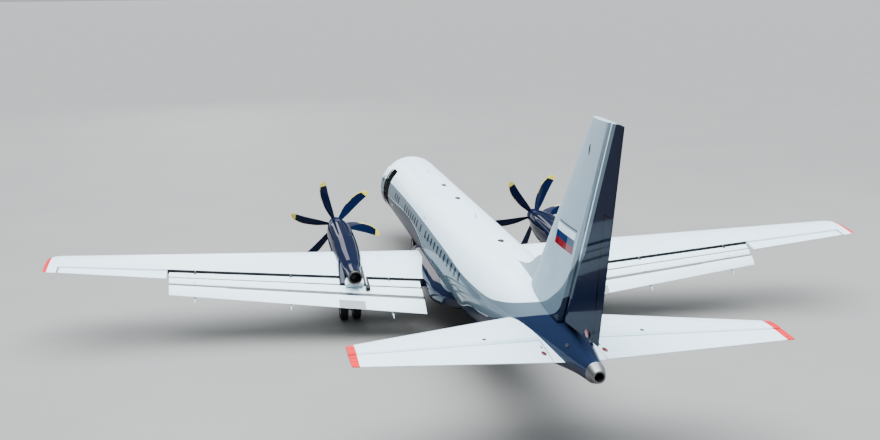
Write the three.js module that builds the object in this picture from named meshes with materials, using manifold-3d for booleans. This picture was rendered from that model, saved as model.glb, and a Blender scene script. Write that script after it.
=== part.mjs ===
// A low-wing twin turboprop airliner, parked on its wheels with the flaps down.
// Millimetres, +Z up, nose towards -Y, port (left) side towards +X.
// Every length along the aircraft is a station: millimetres aft of the nose tip.
import * as THREE from "three";
import { mergeVertices } from "three/addons/utils/BufferGeometryUtils.js";
import Module from "manifold-3d";

const wasm = await Module();
wasm.setup();

// Driving dimensions
const length = 27760;
const halfSpan = 15000;
const tailHalfSpan = 5700;
const fuselageRadius = 1430;
const fuselageHeight = 2740;
const nacelleOffset = 4300;
const gap = 0.3;
const ringPoints = 40;

// Colours
const white = 0xe6ebee;
const navy = 0x1a2342;
const metal = 0xa8a8a6;
const dark = 0x1c1e20;

function paint(colour, roughness = 0.35, metalness = 0.0) {
  return new THREE.MeshStandardMaterial({ color: colour, roughness, metalness });
}

// A closed body through rings of points, each ring with the same number of points.
function loft(rings) {
  const points = [];
  const faces = [];
  const count = rings[0].length;
  for (const ring of rings) points.push(...ring);
  for (let r = 0; r + 1 < rings.length; r++) {
    for (let i = 0; i < count; i++) {
      const a = r * count + i;
      const b = r * count + ((i + 1) % count);
      faces.push([a, b, b + count], [a, b + count, a + count]);
    }
  }
  for (const [ring, flip] of [[0, true], [rings.length - 1, false]]) {
    const middle = points.length;
    const sum = rings[ring].reduce((m, p) => m.map((v, k) => v + p[k] / count), [0, 0, 0]);
    points.push(sum);
    for (let i = 0; i < count; i++) {
      const a = ring * count + i;
      const b = ring * count + ((i + 1) % count);
      faces.push(flip ? [middle, b, a] : [middle, a, b]);
    }
  }
  return body(points, faces);
}

function signedVolume(points, faces) {
  let sum = 0;
  for (const [a, b, c] of faces) {
    const [p, q, r] = [points[a], points[b], points[c]];
    sum += p[0] * (q[1] * r[2] - q[2] * r[1]);
    sum += p[1] * (q[2] * r[0] - q[0] * r[2]);
    sum += p[2] * (q[0] * r[1] - q[1] * r[0]);
  }
  return sum;
}

function body(points, faces) {
  const outward = signedVolume(points, faces) > 0;
  const order = faces.flatMap(([a, b, c]) => (outward ? [a, b, c] : [a, c, b]));
  const geometry = new THREE.BufferGeometry();
  geometry.setAttribute("position", new THREE.Float32BufferAttribute(points.flat(), 3));
  geometry.setIndex(order);
  return solid(geometry);
}

function solid(geometry) {
  geometry.deleteAttribute("normal");
  geometry.deleteAttribute("uv");
  const merged = mergeVertices(geometry, 0.001);
  return new wasm.Manifold(new wasm.Mesh({
    numProp: 3,
    vertProperties: new Float32Array(merged.attributes.position.array),
    triVerts: new Uint32Array(merged.index.array),
  }));
}

function placed(geometry, x, station, z, turn = [0, 0, 0]) {
  geometry.rotateX(turn[0]);
  geometry.rotateY(turn[1]);
  geometry.rotateZ(turn[2]);
  geometry.translate(x, station, z);
  return solid(geometry);
}

function box(x, station, z, width, long, high) {
  return placed(new THREE.BoxGeometry(width, long, high), x, station, z);
}

// A round bar between two points.
function bar(from, to, radius, sides = 12) {
  const a = new THREE.Vector3(...from);
  const b = new THREE.Vector3(...to);
  const run = b.clone().sub(a);
  const geometry = new THREE.CylinderGeometry(radius, radius, run.length(), sides);
  const up = new THREE.Vector3(0, 1, 0);
  geometry.applyQuaternion(new THREE.Quaternion().setFromUnitVectors(up, run.clone().normalize()));
  const middle = a.add(b).multiplyScalar(0.5);
  geometry.translate(middle.x, middle.y, middle.z);
  return solid(geometry);
}

function join(parts) {
  return parts.reduce((whole, part) => whole.add(part));
}

// A round body along the aircraft: rows of [station, centre height, half width, up, down].
// Squareness 2 is an ellipse and more is a rounder box.
function hull(rows, x = 0, grow = 0, squareness = 2) {
  return loft(rows.map(([station, height, width, up, down]) => {
    const ring = [];
    for (let i = 0; i < ringPoints; i++) {
      const angle = (i / ringPoints) * Math.PI * 2;
      const side = Math.sign(Math.cos(angle)) * Math.abs(Math.cos(angle)) ** (2 / squareness);
      const rise = Math.sign(Math.sin(angle)) * Math.abs(Math.sin(angle)) ** (2 / squareness);
      const reach = rise > 0 ? up : down;
      ring.push([x + side * (width + grow), station, height + rise * (reach + grow)]);
    }
    return ring;
  }));
}

// The part of a table of rows between two stations, with its ends worked out.
function between(rows, from, to) {
  const at = (station) => {
    const next = rows.findIndex((row) => row[0] >= station);
    const [a, b] = [rows[Math.max(next - 1, 0)], rows[next]];
    const share = b[0] === a[0] ? 0 : (station - a[0]) / (b[0] - a[0]);
    return a.map((value, k) => value + (b[k] - value) * share);
  };
  return [at(from), ...rows.filter((row) => row[0] > from + 1 && row[0] < to - 1), at(to)];
}

// Half thickness of a wing section, as a share of the chord.
function halfThickness(share, thickness) {
  const round = 0.2969 * Math.sqrt(share) - 0.126 * share - 0.3516 * share ** 2;
  return 5 * thickness * (round + 0.2843 * share ** 3 - 0.1015 * share ** 4);
}

const chordShares = [0, 0.012, 0.05, 0.13, 0.26, 0.42, 0.58, 0.73, 0.87, 1];
const tailShares = [0, 0.012, 0.05, 0.13, 0.26, 0.4];
const camber = 0.01;

// A wing section between a front and a back point, cut off at a share of its chord.
// place turns (distance aft, distance up) into a point of the aircraft.
function section(front, back, thickness, place, end = 1, grow = 0, steps = chordShares) {
  const run = [back[0] - front[0], back[1] - front[1]];
  const chord = Math.hypot(...run);
  const [along, across] = [[run[0] / chord, run[1] / chord], [-run[1] / chord, run[0] / chord]];
  const point = (share, side) => {
    const middle = camber * 4 * share * (1 - share) * chord;
    const half = halfThickness(share, thickness) * chord + grow;
    const distance = share * chord;
    const rise = middle + side * half;
    return place(front[0] + along[0] * distance + across[0] * rise,
      front[1] + along[1] * distance + across[1] * rise);
  };
  const shares = [...steps.filter((share) => share < end - 0.005), end];
  const upper = shares.map((share) => point(share, 1));
  const lower = shares.slice(1).reverse().map((share) => point(share, -1));
  upper[0] = place(front[0] - along[0] * grow, front[1] - along[1] * grow);
  return [...upper, ...lower];
}

// A control surface's section: a round nose about its hinge, then flat to the back edge.
function flapSection(hinge, back, radius, place) {
  const angle = Math.atan2(back[1] - hinge[1], back[0] - hinge[0]);
  const ring = [];
  const noseSteps = 8;
  for (let i = 0; i <= noseSteps; i++) {
    const turn = angle + Math.PI / 2 + (i / noseSteps) * Math.PI;
    ring.push(place(hinge[0] + Math.cos(turn) * radius, hinge[1] + Math.sin(turn) * radius));
  }
  const edge = 9;
  const normal = [-Math.sin(angle) * edge, Math.cos(angle) * edge];
  ring.push(place(back[0] - normal[0], back[1] - normal[1]));
  ring.push(place(back[0] + normal[0], back[1] + normal[1]));
  return ring;
}

const mix = (a, b, share) => a.map((value, k) => value + (b[k] - value) * share);

// Fuselage: station, rise of the centre over the cabin's middle, half width, up, down
const fuselageRows = [
  [0, -430, 60, 60, 60],
  [100, -420, 260, 250, 250],
  [400, -380, 580, 560, 530],
  [950, -280, 950, 960, 900],
  [1600, -110, 1250, 1300, 1210],
  [2400, 0, fuselageRadius, fuselageRadius, fuselageRadius],
  [18000, 0, fuselageRadius, fuselageRadius, fuselageRadius],
  [20500, 110, 1290, 1270, 1200],
  [23000, 290, 960, 955, 840],
  [25000, 395, 590, 620, 520],
  [26400, 450, 320, 330, 300],
  [27130, 460, 185, 260, 250],
].map(([station, rise, ...sizes]) => [station, fuselageHeight + rise, ...sizes]);
const joints = { nose: 950, forward: 8000, centre: 15500, rear: 22300, tail: 26400, end: 27130 };

function fuselagePart(from, to, grow = 0) {
  return hull(between(fuselageRows, from + gap / 2, to - gap / 2), 0, grow);
}
const fuselageTool = hull(fuselageRows.slice(1), 0, gap);

// The port passenger doorway, a recess with its door swung forward along the side
const doorway = { from: 3300, to: 4200, sill: 2100, head: 3800, depth: 900 };

function forwardFuselage() {
  const { from, to, halfWidth, roof } = noseBay;
  const bayBox = box(0, (from + to) / 2, roof - 300, halfWidth * 2, to - from, 600);
  const high = doorway.head - doorway.sill;
  const middle = (doorway.from + doorway.to) / 2;
  const hole = box(fuselageRadius, middle, doorway.sill + high / 2, doorway.depth * 2, doorway.to - doorway.from, high);
  return fuselagePart(joints.nose, joints.forward).subtract(hole).subtract(bayBox);
}

const door = { thick: 40, clear: 30, margin: 20, armHeights: [2500, 3350], armRadius: 20, reach: 48 };

function passengerDoor() {
  const { thick, clear, margin, armHeights, armRadius, reach } = door;
  const middle = (doorway.from + doorway.to) / 2;
  const long = doorway.to - doorway.from;
  const high = doorway.head - doorway.sill - margin * 2;
  const tube = (from, to, radius) =>
    hull([from, to].map((station) => [station, fuselageHeight, radius, radius, radius]));
  const outer = tube(doorway.from + margin, doorway.to - margin, fuselageRadius);
  const inner = tube(doorway.from, doorway.to, fuselageRadius - thick);
  const port = box(fuselageRadius, middle, doorway.sill + margin + high / 2, doorway.depth * 2, long, high);
  const panel = outer.intersect(port).subtract(inner).translate([thick + clear, -long - clear, 0]);
  const inside = doorway.from + 50;
  const arms = armHeights.flatMap((z) => {
    const surface = Math.sqrt(fuselageRadius ** 2 - (z - fuselageHeight) ** 2);
    const elbow = [surface + reach, inside, z];
    return [
      bar([surface + reach, doorway.from - 120, z], [surface + reach, inside + armRadius, z], armRadius),
      bar(elbow, [surface - reach, inside, z], armRadius),
    ];
  });
  return join([panel, ...arms]);
}

// Exhaust of the auxiliary power unit at the very end
const auxiliaryBore = { height: fuselageHeight + 460, depth: 500, radius: 120 };

function auxiliaryExhaust() {
  const { height, depth, radius } = auxiliaryBore;
  const bore = bar([0, joints.end - depth, height], [0, joints.end + 100, height], radius, 24);
  return fuselagePart(joints.tail, joints.end).subtract(bore);
}

// Fairing where the wing meets the belly: station, centre height, half width, up, down
const fairingRows = [
  [9700, 1750, 900, 250, 250],
  [10700, 1690, 1560, 560, 520],
  [11700, 1660, 1740, 700, 600],
  [15300, 1640, 1740, 640, 580],
  [16400, 1700, 1500, 500, 450],
  [17300, 1800, 900, 250, 250],
];
const fairingSquareness = 2.6;
const fairingTool = hull(fairingRows, 0, gap, fairingSquareness);

// Wing: x, front edge station and height, back edge station and height, thickness
const wingRows = [
  [1500, 11478, 1990, 15278, 1410, 0.15],
  [10800, 12490, 2610, 14720, 2400, 0.13],
  [halfSpan, 12950, 2890, 14550, 2810, 0.12],
];
const flapFrom = 1880;
const flapTo = 10780;
const aileronFrom = 10860;
const aileronTo = 14480;
const tipFrom = 14560;
const boxEnd = 0.73;
const hingeShare = 0.775;
const nacellePlaces = [nacelleOffset - 900, nacelleOffset, nacelleOffset + 900];

function wingAt(x) {
  const row = wingRows.findIndex((entry) => entry[0] >= x);
  const [a, b] = [wingRows[Math.max(row - 1, 0)], wingRows[Math.max(row, 1)]];
  const [, s1, z1, s2, z2, thickness] = mix(a, b, (x - a[0]) / (b[0] - a[0]));
  return { front: [s1, z1], back: [s2, z2], thickness };
}

function wingSection(side, x, end, grow = 0) {
  const { front, back, thickness } = wingAt(x);
  return section(front, back, thickness, (s, z) => [side * x, s, z], end, grow);
}

function wing(side) {
  const places = [1500, ...nacellePlaces, 7900, 10800, tipFrom - gap];
  const panel = loft(places.map((x) => wingSection(side, x, boxEnd)));
  return panel.subtract(fairingTool).subtract(fuselageTool);
}

function wingTip(side) {
  const last = wingAt(halfSpan);
  const closing = [];
  for (const [share, pull] of [[0, 0], [0.7, 0.04], [1, 0.16]]) {
    const x = tipFrom + (halfSpan - tipFrom) * share;
    const { front, back, thickness } = wingAt(x);
    const start = mix(front, last.back, pull);
    closing.push(section(start, back, thickness * (1 - pull * 2), (s, z) => [side * x, s, z], 1));
  }
  return loft(closing);
}

// The lowered flap hangs in three strips along a line from the wing's back lip to the flap's edge.
// Columns: x, lip station and height, back edge station and height.
const flapLine = [
  [flapFrom, 14262, 1745, 15830, 985],
  [flapTo, 14150, 2500, 14975, 1900],
];
const strips = { vane: [0.05, 0.275, 0.17], main: [0.3, 0.56, 0.2], aft: [0.585, 1, 0.13] };
const stripArch = 0.05;

function flapPoint(x, share) {
  const [, s1, z1, s2, z2] = mix(flapLine[0], flapLine[1], (x - flapFrom) / (flapTo - flapFrom));
  const rise = Math.sin(share * Math.PI) * stripArch * Math.hypot(s2 - s1, z2 - z1);
  return [s1 + (s2 - s1) * share, z1 + (z2 - z1) * share + rise];
}

function flapStrip(side, name) {
  const [from, to, thickness] = strips[name];
  return loft([flapFrom, flapTo].map((x) => {
    const front = flapPoint(x, from);
    const back = flapPoint(x, to);
    return section(front, back, thickness, (s, z) => [side * x, s, z - 12], 1);
  }));
}

// Flap track fairings, carried by the main strip and reaching past the back edge
const trackPlaces = [3050, 6600, 9900];

function mainFlap(side) {
  const pieces = [flapStrip(side, "main")];
  for (const x of trackPlaces) {
    const front = flapPoint(x, 0.02);
    const back = flapPoint(x, 1.1);
    const drop = 190;
    // share along the fairing, half width, half height
    const rows = [[0, 12, 14], [0.2, 52, 70], [0.55, 62, 92], [0.85, 36, 56], [1, 6, 8]];
    const rings = rows.map(([share, wide, high]) => {
      const [s, z] = mix(front, back, share);
      const sides = 12;
      return Array.from({ length: sides }, (_, i) => {
        const turn = (i / sides) * Math.PI * 2;
        return [side * x + Math.cos(turn) * wide, s, z - drop + share * 60 + Math.sin(turn) * high];
      });
    });
    const middle = flapPoint(x, 0.43);
    pieces.push(loft(rings), box(side * x, middle[0], middle[1] - 95, 60, 150, 170));
  }
  return join(pieces);
}

function aileron(side) {
  return loft([aileronFrom, aileronTo].map((x) => {
    const { front, back, thickness } = wingAt(x);
    const chord = back[0] - front[0];
    const radius = halfThickness(hingeShare, thickness) * chord;
    return flapSection(mix(front, back, hingeShare), back, radius, (s, z) => [side * x, s, z]);
  }));
}

// Nacelle: the engine cowl above and through the wing, and the wheel pod under it
const cowlRows = [
  [8700, 2480, 330, 320, 500],
  [9150, 2470, 430, 420, 620],
  [10000, 2440, 500, 510, 740],
  [11400, 2380, 510, 490, 800],
  [12800, 2280, 470, 400, 600],
  [13900, 2230, 360, 300, 330],
];
const jetPipeRows = [
  [13900.3, 2230, 360, 300, 330],
  [14350, 2200, 290, 255, 240],
  [15000, 2190, 245, 245, 245],
  [15090, 2190, 232, 232, 232],
];
const jetBore = { from: 14300, to: 15140, radius: 205, height: 2190 };
const podRows = [
  [10100, 2050, 300, 200, 120],
  [10900, 1850, 500, 400, 330],
  [12200, 1800, 540, 400, 460],
  [13500, 1780, 500, 280, 440],
  [14080, 1760, 360, 200, 200],
];
const bay = { from: 12700, to: 13600, halfWidth: 290, roof: 1700 };
const engine = { from: 9200, to: 11300, width: 560, high: 560, height: 2410 };
const intake = { width: 300, long: 900, high: 115, station: 8900, height: 2110 };

const cowlSquareness = 2.3;
const wingCut = 0.75;

// The wing's own space through the nacelle
function nacelleTool(side) {
  return loft(nacellePlaces.map((place) => wingSection(side, place, wingCut, gap)));
}

function nacelle(side) {
  const x = side * nacelleOffset;
  const bayBox = box(x, (bay.from + bay.to) / 2, bay.roof - 500, bay.halfWidth * 2, bay.to - bay.from, 1000);
  const long = engine.to - engine.from;
  const roomy = 20;
  const middle = (engine.from + engine.to) / 2;
  const room = box(x, middle, engine.height, engine.width + roomy, long + roomy, engine.high + roomy);
  const chin = box(x, intake.station, intake.height, intake.width, intake.long, intake.high);
  return hull(cowlRows, x, 0, cowlSquareness).add(hull(podRows, x, 0, fairingSquareness))
    .subtract(nacelleTool(side)).subtract(bayBox).subtract(room).subtract(chin);
}

function engineBlock(side) {
  const long = engine.to - engine.from;
  const middle = (engine.from + engine.to) / 2;
  return box(side * nacelleOffset, middle, engine.height, engine.width, long, engine.high);
}

// Jet pipe in its fairing: it leaves the top of the cowl's end and reaches over the flap
function jetPipe(side) {
  const x = side * nacelleOffset;
  const { from, to, radius, height } = jetBore;
  const bore = bar([x, from, height], [x, to, height], radius, 32);
  return hull(jetPipeRows, x, 0, cowlSquareness).subtract(nacelleTool(side)).subtract(bore);
}

// Propeller: six swept blades on a spinner, turning from the top towards port
const propeller = { station: 8330, height: 2480, radius: 1910, blades: 6 };
const firstBlade = { port: 20.2, starboard: 41.5 };
// radius share, chord, pitch in degrees, sweep back, thickness
const bladeRows = [
  [0.1, 190, 62, 0, 0.5],
  [0.2, 270, 52, 25, 0.3],
  [0.4, 370, 38, 45, 0.14],
  [0.65, 390, 28, 20, 0.09],
  [0.85, 340, 22, -60, 0.07],
  [0.96, 230, 20, -140, 0.06],
  [1, 90, 19, -190, 0.06],
];

const bladeShares = [0, 0.06, 0.3, 0.65, 1];

function blade(x, angle) {
  const outward = [Math.sin(angle), 0, Math.cos(angle)];
  const ahead = [Math.cos(angle), 0, -Math.sin(angle)];
  return loft(bladeRows.map(([share, chord, pitch, sweep, thickness]) => {
    const turn = THREE.MathUtils.degToRad(pitch);
    const distance = share * propeller.radius;
    const place = (back, rise) => {
      const forward = sweep + 0.45 * chord - back;
      const tangent = forward * Math.cos(turn) - rise * Math.sin(turn);
      const axial = -forward * Math.sin(turn) - rise * Math.cos(turn);
      return [
        x + outward[0] * distance + ahead[0] * tangent,
        propeller.station + axial,
        propeller.height + outward[2] * distance + ahead[2] * tangent,
      ];
    };
    return section([0, 0], [chord, 0], thickness, place, 1, 0, bladeShares);
  }));
}

function propellerBody(side) {
  const x = side * nacelleOffset;
  const start = side > 0 ? firstBlade.port : firstBlade.starboard;
  // distance along the shaft, radius
  const profile = [[-560, 0], [-540, 60], [-430, 165], [-230, 260], [60, 315], [250, 320], [250, 0]];
  const points = profile.map(([along, radius]) => new THREE.Vector2(radius, along));
  const spinner = placed(new THREE.LatheGeometry(points, 24), x, propeller.station, propeller.height);
  const blades = Array.from({ length: propeller.blades }, (_, k) =>
    blade(x, THREE.MathUtils.degToRad(start + (k * 360) / propeller.blades)));
  return join([spinner, ...blades]);
}

// Tailplane: x, front edge station and height, hinge station, back edge station and height, thickness
const tailRows = [
  [300, 22400, 3110, 24720, 25910, 3110, 0.11],
  [tailHalfSpan, 24480, 3310, 25230, 25830, 3310, 0.1],
];
const elevatorFrom = 700;
const tailRootTo = 680;

function tailAt(x) {
  const share = (x - tailRows[0][0]) / (tailRows[1][0] - tailRows[0][0]);
  const [, s1, z1, hinge, s2, z2, thickness] = mix(tailRows[0], tailRows[1], share);
  return { front: [s1, z1], hinge: [hinge, z1], back: [s2, z2], thickness };
}

function noseRadius(at) {
  const chord = at.back[0] - at.front[0];
  return halfThickness((at.hinge[0] - at.front[0]) / chord, at.thickness) * chord;
}

function tailplane(side) {
  const panel = loft([tailRows[0][0], tailHalfSpan].map((x) => {
    const at = tailAt(x);
    const chord = at.back[0] - at.front[0];
    const end = (at.hinge[0] - noseRadius(at) - 25 - at.front[0]) / chord;
    return section(at.front, at.back, at.thickness, (s, z) => [side * x, s, z], end, 0, tailShares);
  }));
  const root = loft([tailRows[0][0], tailRootTo].map((x) => {
    const at = tailAt(x);
    return section(at.front, at.back, at.thickness, (s, z) => [side * x, s, z]);
  }));
  return panel.add(root).subtract(fuselageTool);
}

function elevator(side) {
  return loft([elevatorFrom, tailHalfSpan].map((x) => {
    const at = tailAt(x);
    return flapSection(at.hinge, at.back, noseRadius(at), (s, z) => [side * x, s, z]);
  }));
}

// Fin: height, front edge station, hinge station, back edge station, thickness
const finRows = [
  [3600, 21660, 25020, 26900, 0.11],
  [9200, 25980, 27200, 27760, 0.1],
];
const finTop = 9200;
const rudderFoot = 3900;

function finAt(z) {
  const share = (z - finRows[0][0]) / (finRows[1][0] - finRows[0][0]);
  const [, front, hinge, back, thickness] = mix(finRows[0], finRows[1], share);
  return { front: [front, 0], hinge: [hinge, 0], back: [back, 0], thickness };
}

function fin() {
  const panel = loft([3600, finTop].map((z) => {
    const at = finAt(z);
    const chord = at.back[0] - at.front[0];
    const end = (at.hinge[0] - noseRadius(at) - 30 - at.front[0]) / chord;
    return section(at.front, at.back, at.thickness, (s, x) => [x, s, z], end, 0, tailShares);
  }));
  // dorsal fillet: station, half width at the foot, height of its ridge
  const fillet = [[19900, 20, 4050], [21300, 60, 4330], [22700, 110, 4960], [23400, 120, 5000]];
  const rings = fillet.map(([station, half, ridge]) =>
    [[half, station, 3700], [half * 0.3, station, ridge], [-half * 0.3, station, ridge], [-half, station, 3700]]);
  return panel.add(loft(rings)).subtract(fuselageTool);
}

function rudder() {
  return loft([rudderFoot, finTop].map((z) => {
    const at = finAt(z);
    return flapSection(at.hinge, at.back, noseRadius(at), (s, x) => [x, s, z]);
  }));
}

// Two wheels on one turning axle: tyre radius, tyre width, distance apart, axle radius
const mainWheel = { radius: 440, width: 300, spacing: 480, axle: 45, place: 13130 };
const noseWheel = { radius: 310, width: 180, spacing: 360, axle: 32, place: 4050 };
const turning = 8;

function wheelPair(x, { radius, width, spacing, axle, place }) {
  const rim = radius * 0.55;
  const half = width / 2;
  const round = half * 0.35;
  const dish = half * 0.7;
  const wheel = (centre) => {
    const profile = [
      [0, -dish], [rim * 0.9, -dish], [rim, -half], [radius - round, -half], [radius, round - half],
      [radius, half - round], [radius - round, half], [rim, half], [rim * 0.9, dish], [0, dish],
    ];
    const outline = profile.map(([out, along]) => new THREE.Vector2(out, along + centre));
    return placed(new THREE.LatheGeometry(outline, 28), x, place, radius, [0, 0, -Math.PI / 2]);
  };
  const reach = spacing / 2;
  const shaft = bar([x - reach, place, radius], [x + reach, place, radius], axle, 16);
  return join([wheel(-reach), wheel(reach), shaft]);
}

// The collar at a leg's foot, bored for the turning axle
function collar(x, { radius, spacing, width, axle, place }) {
  const half = (spacing - width) / 2 - 15;
  const outer = bar([x - half, place, radius], [x + half, place, radius], axle + 45, 16);
  return outer.add(bar([x, place, radius + 20], [x, place, radius + 150], 60));
}

function collarBore(x, { radius, axle, place }) {
  return bar([x - 500, place, radius], [x + 500, place, radius], axle + turning, 16);
}

function mainLeg(side) {
  const x = side * nacelleOffset;
  const { radius, place } = mainWheel;
  const cylinder = bar([x, place, 980], [x, place, bay.roof - gap], 92, 16);
  const piston = bar([x, place, radius + 100], [x, place, 1000], 60, 16);
  const drag = bar([x, place, 1150], [x, bay.from + 70, bay.roof - 70], 38);
  const dragFoot = box(x, bay.from + 70, bay.roof - 50, 150, 90, 100 - gap * 2);
  const linkTop = box(x, place + 110, 1010, 110, 70, 60);
  const upperLink = bar([x, place + 110, 1010], [x, place + 260, 790], 26);
  const lowerLink = bar([x, place + 260, 790], [x, place + 50, 570], 26);
  const pieces = [collar(x, mainWheel), cylinder, piston, drag, dragFoot, linkTop, upperLink, lowerLink];
  return join(pieces).subtract(collarBore(x, mainWheel));
}

function gearDoor(side) {
  const x = side * (nacelleOffset + bay.halfWidth + 30);
  const long = bay.to - bay.from - 100;
  return box(x, (bay.from + bay.to) / 2, 1115, 24, long, 410);
}

// Nose gear: a fixed cylinder in its bay, and a steered fork under it
const noseStrut = { station: 4000, foot: 900, radius: 75 };
const noseBay = { from: 2900, to: 4600, halfWidth: 280, roof: 1580 };

function noseLeg() {
  const { station, foot, radius } = noseStrut;
  const cylinder = bar([0, station, foot], [0, station, noseBay.roof - gap], radius, 16);
  const brace = bar([0, station, 1080], [0, noseBay.from + 300, noseBay.roof - 60], 34);
  const braceFoot = box(0, noseBay.from + 300, noseBay.roof - 50, 220, 90, 100 - gap * 2);
  const taxiLamp = bar([0, station - 60, 1010], [0, station - 150, 1010], 85, 16);
  return join([cylinder, brace, braceFoot, taxiLamp]);
}

// Station of the flat face that a tow bar's head meets
const towFace = 3880;

function noseFork() {
  const { station, foot } = noseStrut;
  const { radius, place } = noseWheel;
  const steering = bar([0, station, foot - turning - 130], [0, station, foot - turning], 82, 16);
  const piston = bar([0, station, radius + 60], [0, station, foot - turning - 50], 50, 16);
  const shoe = box(0, (towFace + place) / 2, radius, 120, place - towFace, 110);
  const link = bar([0, station + 60, foot - turning - 60], [0, place + 130, 560], 22);
  const lowerLink = bar([0, place + 130, 560], [0, place + 40, radius + 70], 22);
  const pieces = [collar(0, noseWheel), steering, piston, shoe, link, lowerLink];
  return join(pieces).subtract(collarBore(0, noseWheel));
}

function noseDoor(side) {
  return box(side * (noseBay.halfWidth + 16), (noseBay.from + noseBay.to) / 2, 1105, 22, 1560, 450);
}

// Jacking pads with a flat foot
const wingPad = { x: 5200, station: 12900, top: 2050, foot: 1870, radius: 70 };
const nosePad = { station: 5400, top: 1500, foot: 1285, radius: 70 };

function padUnder(x, { station, top, foot, radius }) {
  return bar([x, station, foot], [x, station, top], radius, 16);
}

// The whole aircraft
const airliner = new THREE.Group();
airliner.position.y = -length / 2;

function add(name, shape, material) {
  const { vertProperties, triVerts, numProp } = shape.getMesh();
  const points = [];
  for (let i = 0; i < vertProperties.length; i += numProp) points.push(...vertProperties.slice(i, i + 3));
  const geometry = new THREE.BufferGeometry();
  geometry.setAttribute("position", new THREE.Float32BufferAttribute(points, 3));
  geometry.setIndex([...triVerts]);
  const mesh = new THREE.Mesh(geometry, material);
  mesh.name = name;
  airliner.add(mesh);
}

const nosePadShape = padUnder(0, nosePad);
add("nose_cone", fuselagePart(0, joints.nose), paint(white));
add("forward_fuselage", forwardFuselage().add(nosePadShape), paint(white));
add("centre_fuselage", fuselagePart(joints.forward, joints.centre), paint(white));
add("rear_fuselage", fuselagePart(joints.centre, joints.rear), paint(white));
add("tail_cone", fuselagePart(joints.rear, joints.tail), paint(navy));
add("auxiliary_exhaust", auxiliaryExhaust(), paint(metal, 0.4, 0.9));
add("passenger_door", passengerDoor(), paint(white));
add("wing_root_fairing", hull(fairingRows, 0, 0, fairingSquareness).subtract(fuselageTool), paint(navy));
add("fin", fin(), paint(white));
add("rudder", rudder(), paint(navy));
add("nose_leg", noseLeg(), paint(metal, 0.4, 0.9));
add("nose_fork", noseFork(), paint(metal, 0.4, 0.9));
add("nose_wheels", wheelPair(0, noseWheel), paint(dark, 0.8));

for (const [side, hand] of [[1, "port"], [-1, "starboard"]]) {
  const padShape = padUnder(side * wingPad.x, wingPad);
  add(`wing_${hand}`, wing(side).add(padShape), paint(white));
  add(`wing_tip_${hand}`, wingTip(side), paint(white));
  add(`flap_vane_${hand}`, flapStrip(side, "vane"), paint(white));
  add(`flap_main_${hand}`, mainFlap(side), paint(white));
  add(`flap_aft_${hand}`, flapStrip(side, "aft"), paint(white));
  add(`aileron_${hand}`, aileron(side), paint(white));
  add(`nacelle_${hand}`, nacelle(side), paint(navy));
  add(`engine_${hand}`, engineBlock(side), paint(metal, 0.5, 0.9));
  add(`jet_pipe_${hand}`, jetPipe(side), paint(metal, 0.4, 0.9));
  add(`propeller_${hand}`, propellerBody(side), paint(navy));
  add(`tailplane_${hand}`, tailplane(side), paint(white));
  add(`elevator_${hand}`, elevator(side), paint(white));
  add(`main_leg_${hand}`, mainLeg(side), paint(metal, 0.4, 0.9));
  add(`main_wheels_${hand}`, wheelPair(side * nacelleOffset, mainWheel), paint(dark, 0.8));
  add(`main_gear_door_${hand}`, gearDoor(side), paint(navy));
  add(`nose_gear_door_${hand}`, noseDoor(side), paint(white));
}

export default airliner;
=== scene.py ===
"""A low-wing twin turboprop airliner, parked with its flaps lowered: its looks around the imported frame.

Metres, nose towards -Y, port towards +X, +Z up. A station is metres aft of the nose tip.
"""

import math

import bmesh
import bpy
from mathutils import Matrix, Vector


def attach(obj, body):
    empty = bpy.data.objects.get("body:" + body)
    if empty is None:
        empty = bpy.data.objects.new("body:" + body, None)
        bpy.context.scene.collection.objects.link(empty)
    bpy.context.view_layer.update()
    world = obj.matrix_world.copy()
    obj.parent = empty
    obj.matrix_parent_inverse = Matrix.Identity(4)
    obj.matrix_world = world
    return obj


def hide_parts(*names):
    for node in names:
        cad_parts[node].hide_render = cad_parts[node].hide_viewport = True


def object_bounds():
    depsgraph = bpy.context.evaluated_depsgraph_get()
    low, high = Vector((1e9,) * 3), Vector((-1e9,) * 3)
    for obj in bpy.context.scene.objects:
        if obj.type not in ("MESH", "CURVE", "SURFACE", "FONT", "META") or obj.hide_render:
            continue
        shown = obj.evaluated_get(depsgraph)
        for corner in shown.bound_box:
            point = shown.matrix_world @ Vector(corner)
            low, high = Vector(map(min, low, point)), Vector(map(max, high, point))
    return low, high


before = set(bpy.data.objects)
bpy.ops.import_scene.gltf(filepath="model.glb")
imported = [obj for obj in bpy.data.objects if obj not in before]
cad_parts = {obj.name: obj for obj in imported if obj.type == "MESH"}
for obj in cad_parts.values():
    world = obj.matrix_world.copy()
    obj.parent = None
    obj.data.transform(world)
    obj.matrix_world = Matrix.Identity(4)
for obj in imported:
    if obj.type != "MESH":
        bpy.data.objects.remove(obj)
cad_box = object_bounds()
NOSE = -cad_box[0].y

# Driving sizes, the same as the solids'
HALF_SPAN = 15.0
TAIL_HALF_SPAN = 5.7
WINDOW_HEIGHT = 3.09
FUSELAGE_RADIUS = 1.43
FUSELAGE_HEIGHT = 2.74
NACELLE_OFFSET = 4.3
SIDES = {"port": 1, "starboard": -1}
# Stations, and the doorway's middle height
DOOR_STATION, DOOR_MIDDLE = 3.75, 2.95
EXIT_STATION = 11.97
NOSE_BAY_STATION, NOSE_LEG_STATION, NOSE_WHEEL_STATION = 3.75, 4.0, 4.05
MAIN_BAY_STATION, MAIN_LEG_STATION = 13.15, 13.13
NOSE_WHEEL_RADIUS, MAIN_WHEEL_RADIUS = 0.31, 0.44

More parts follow.
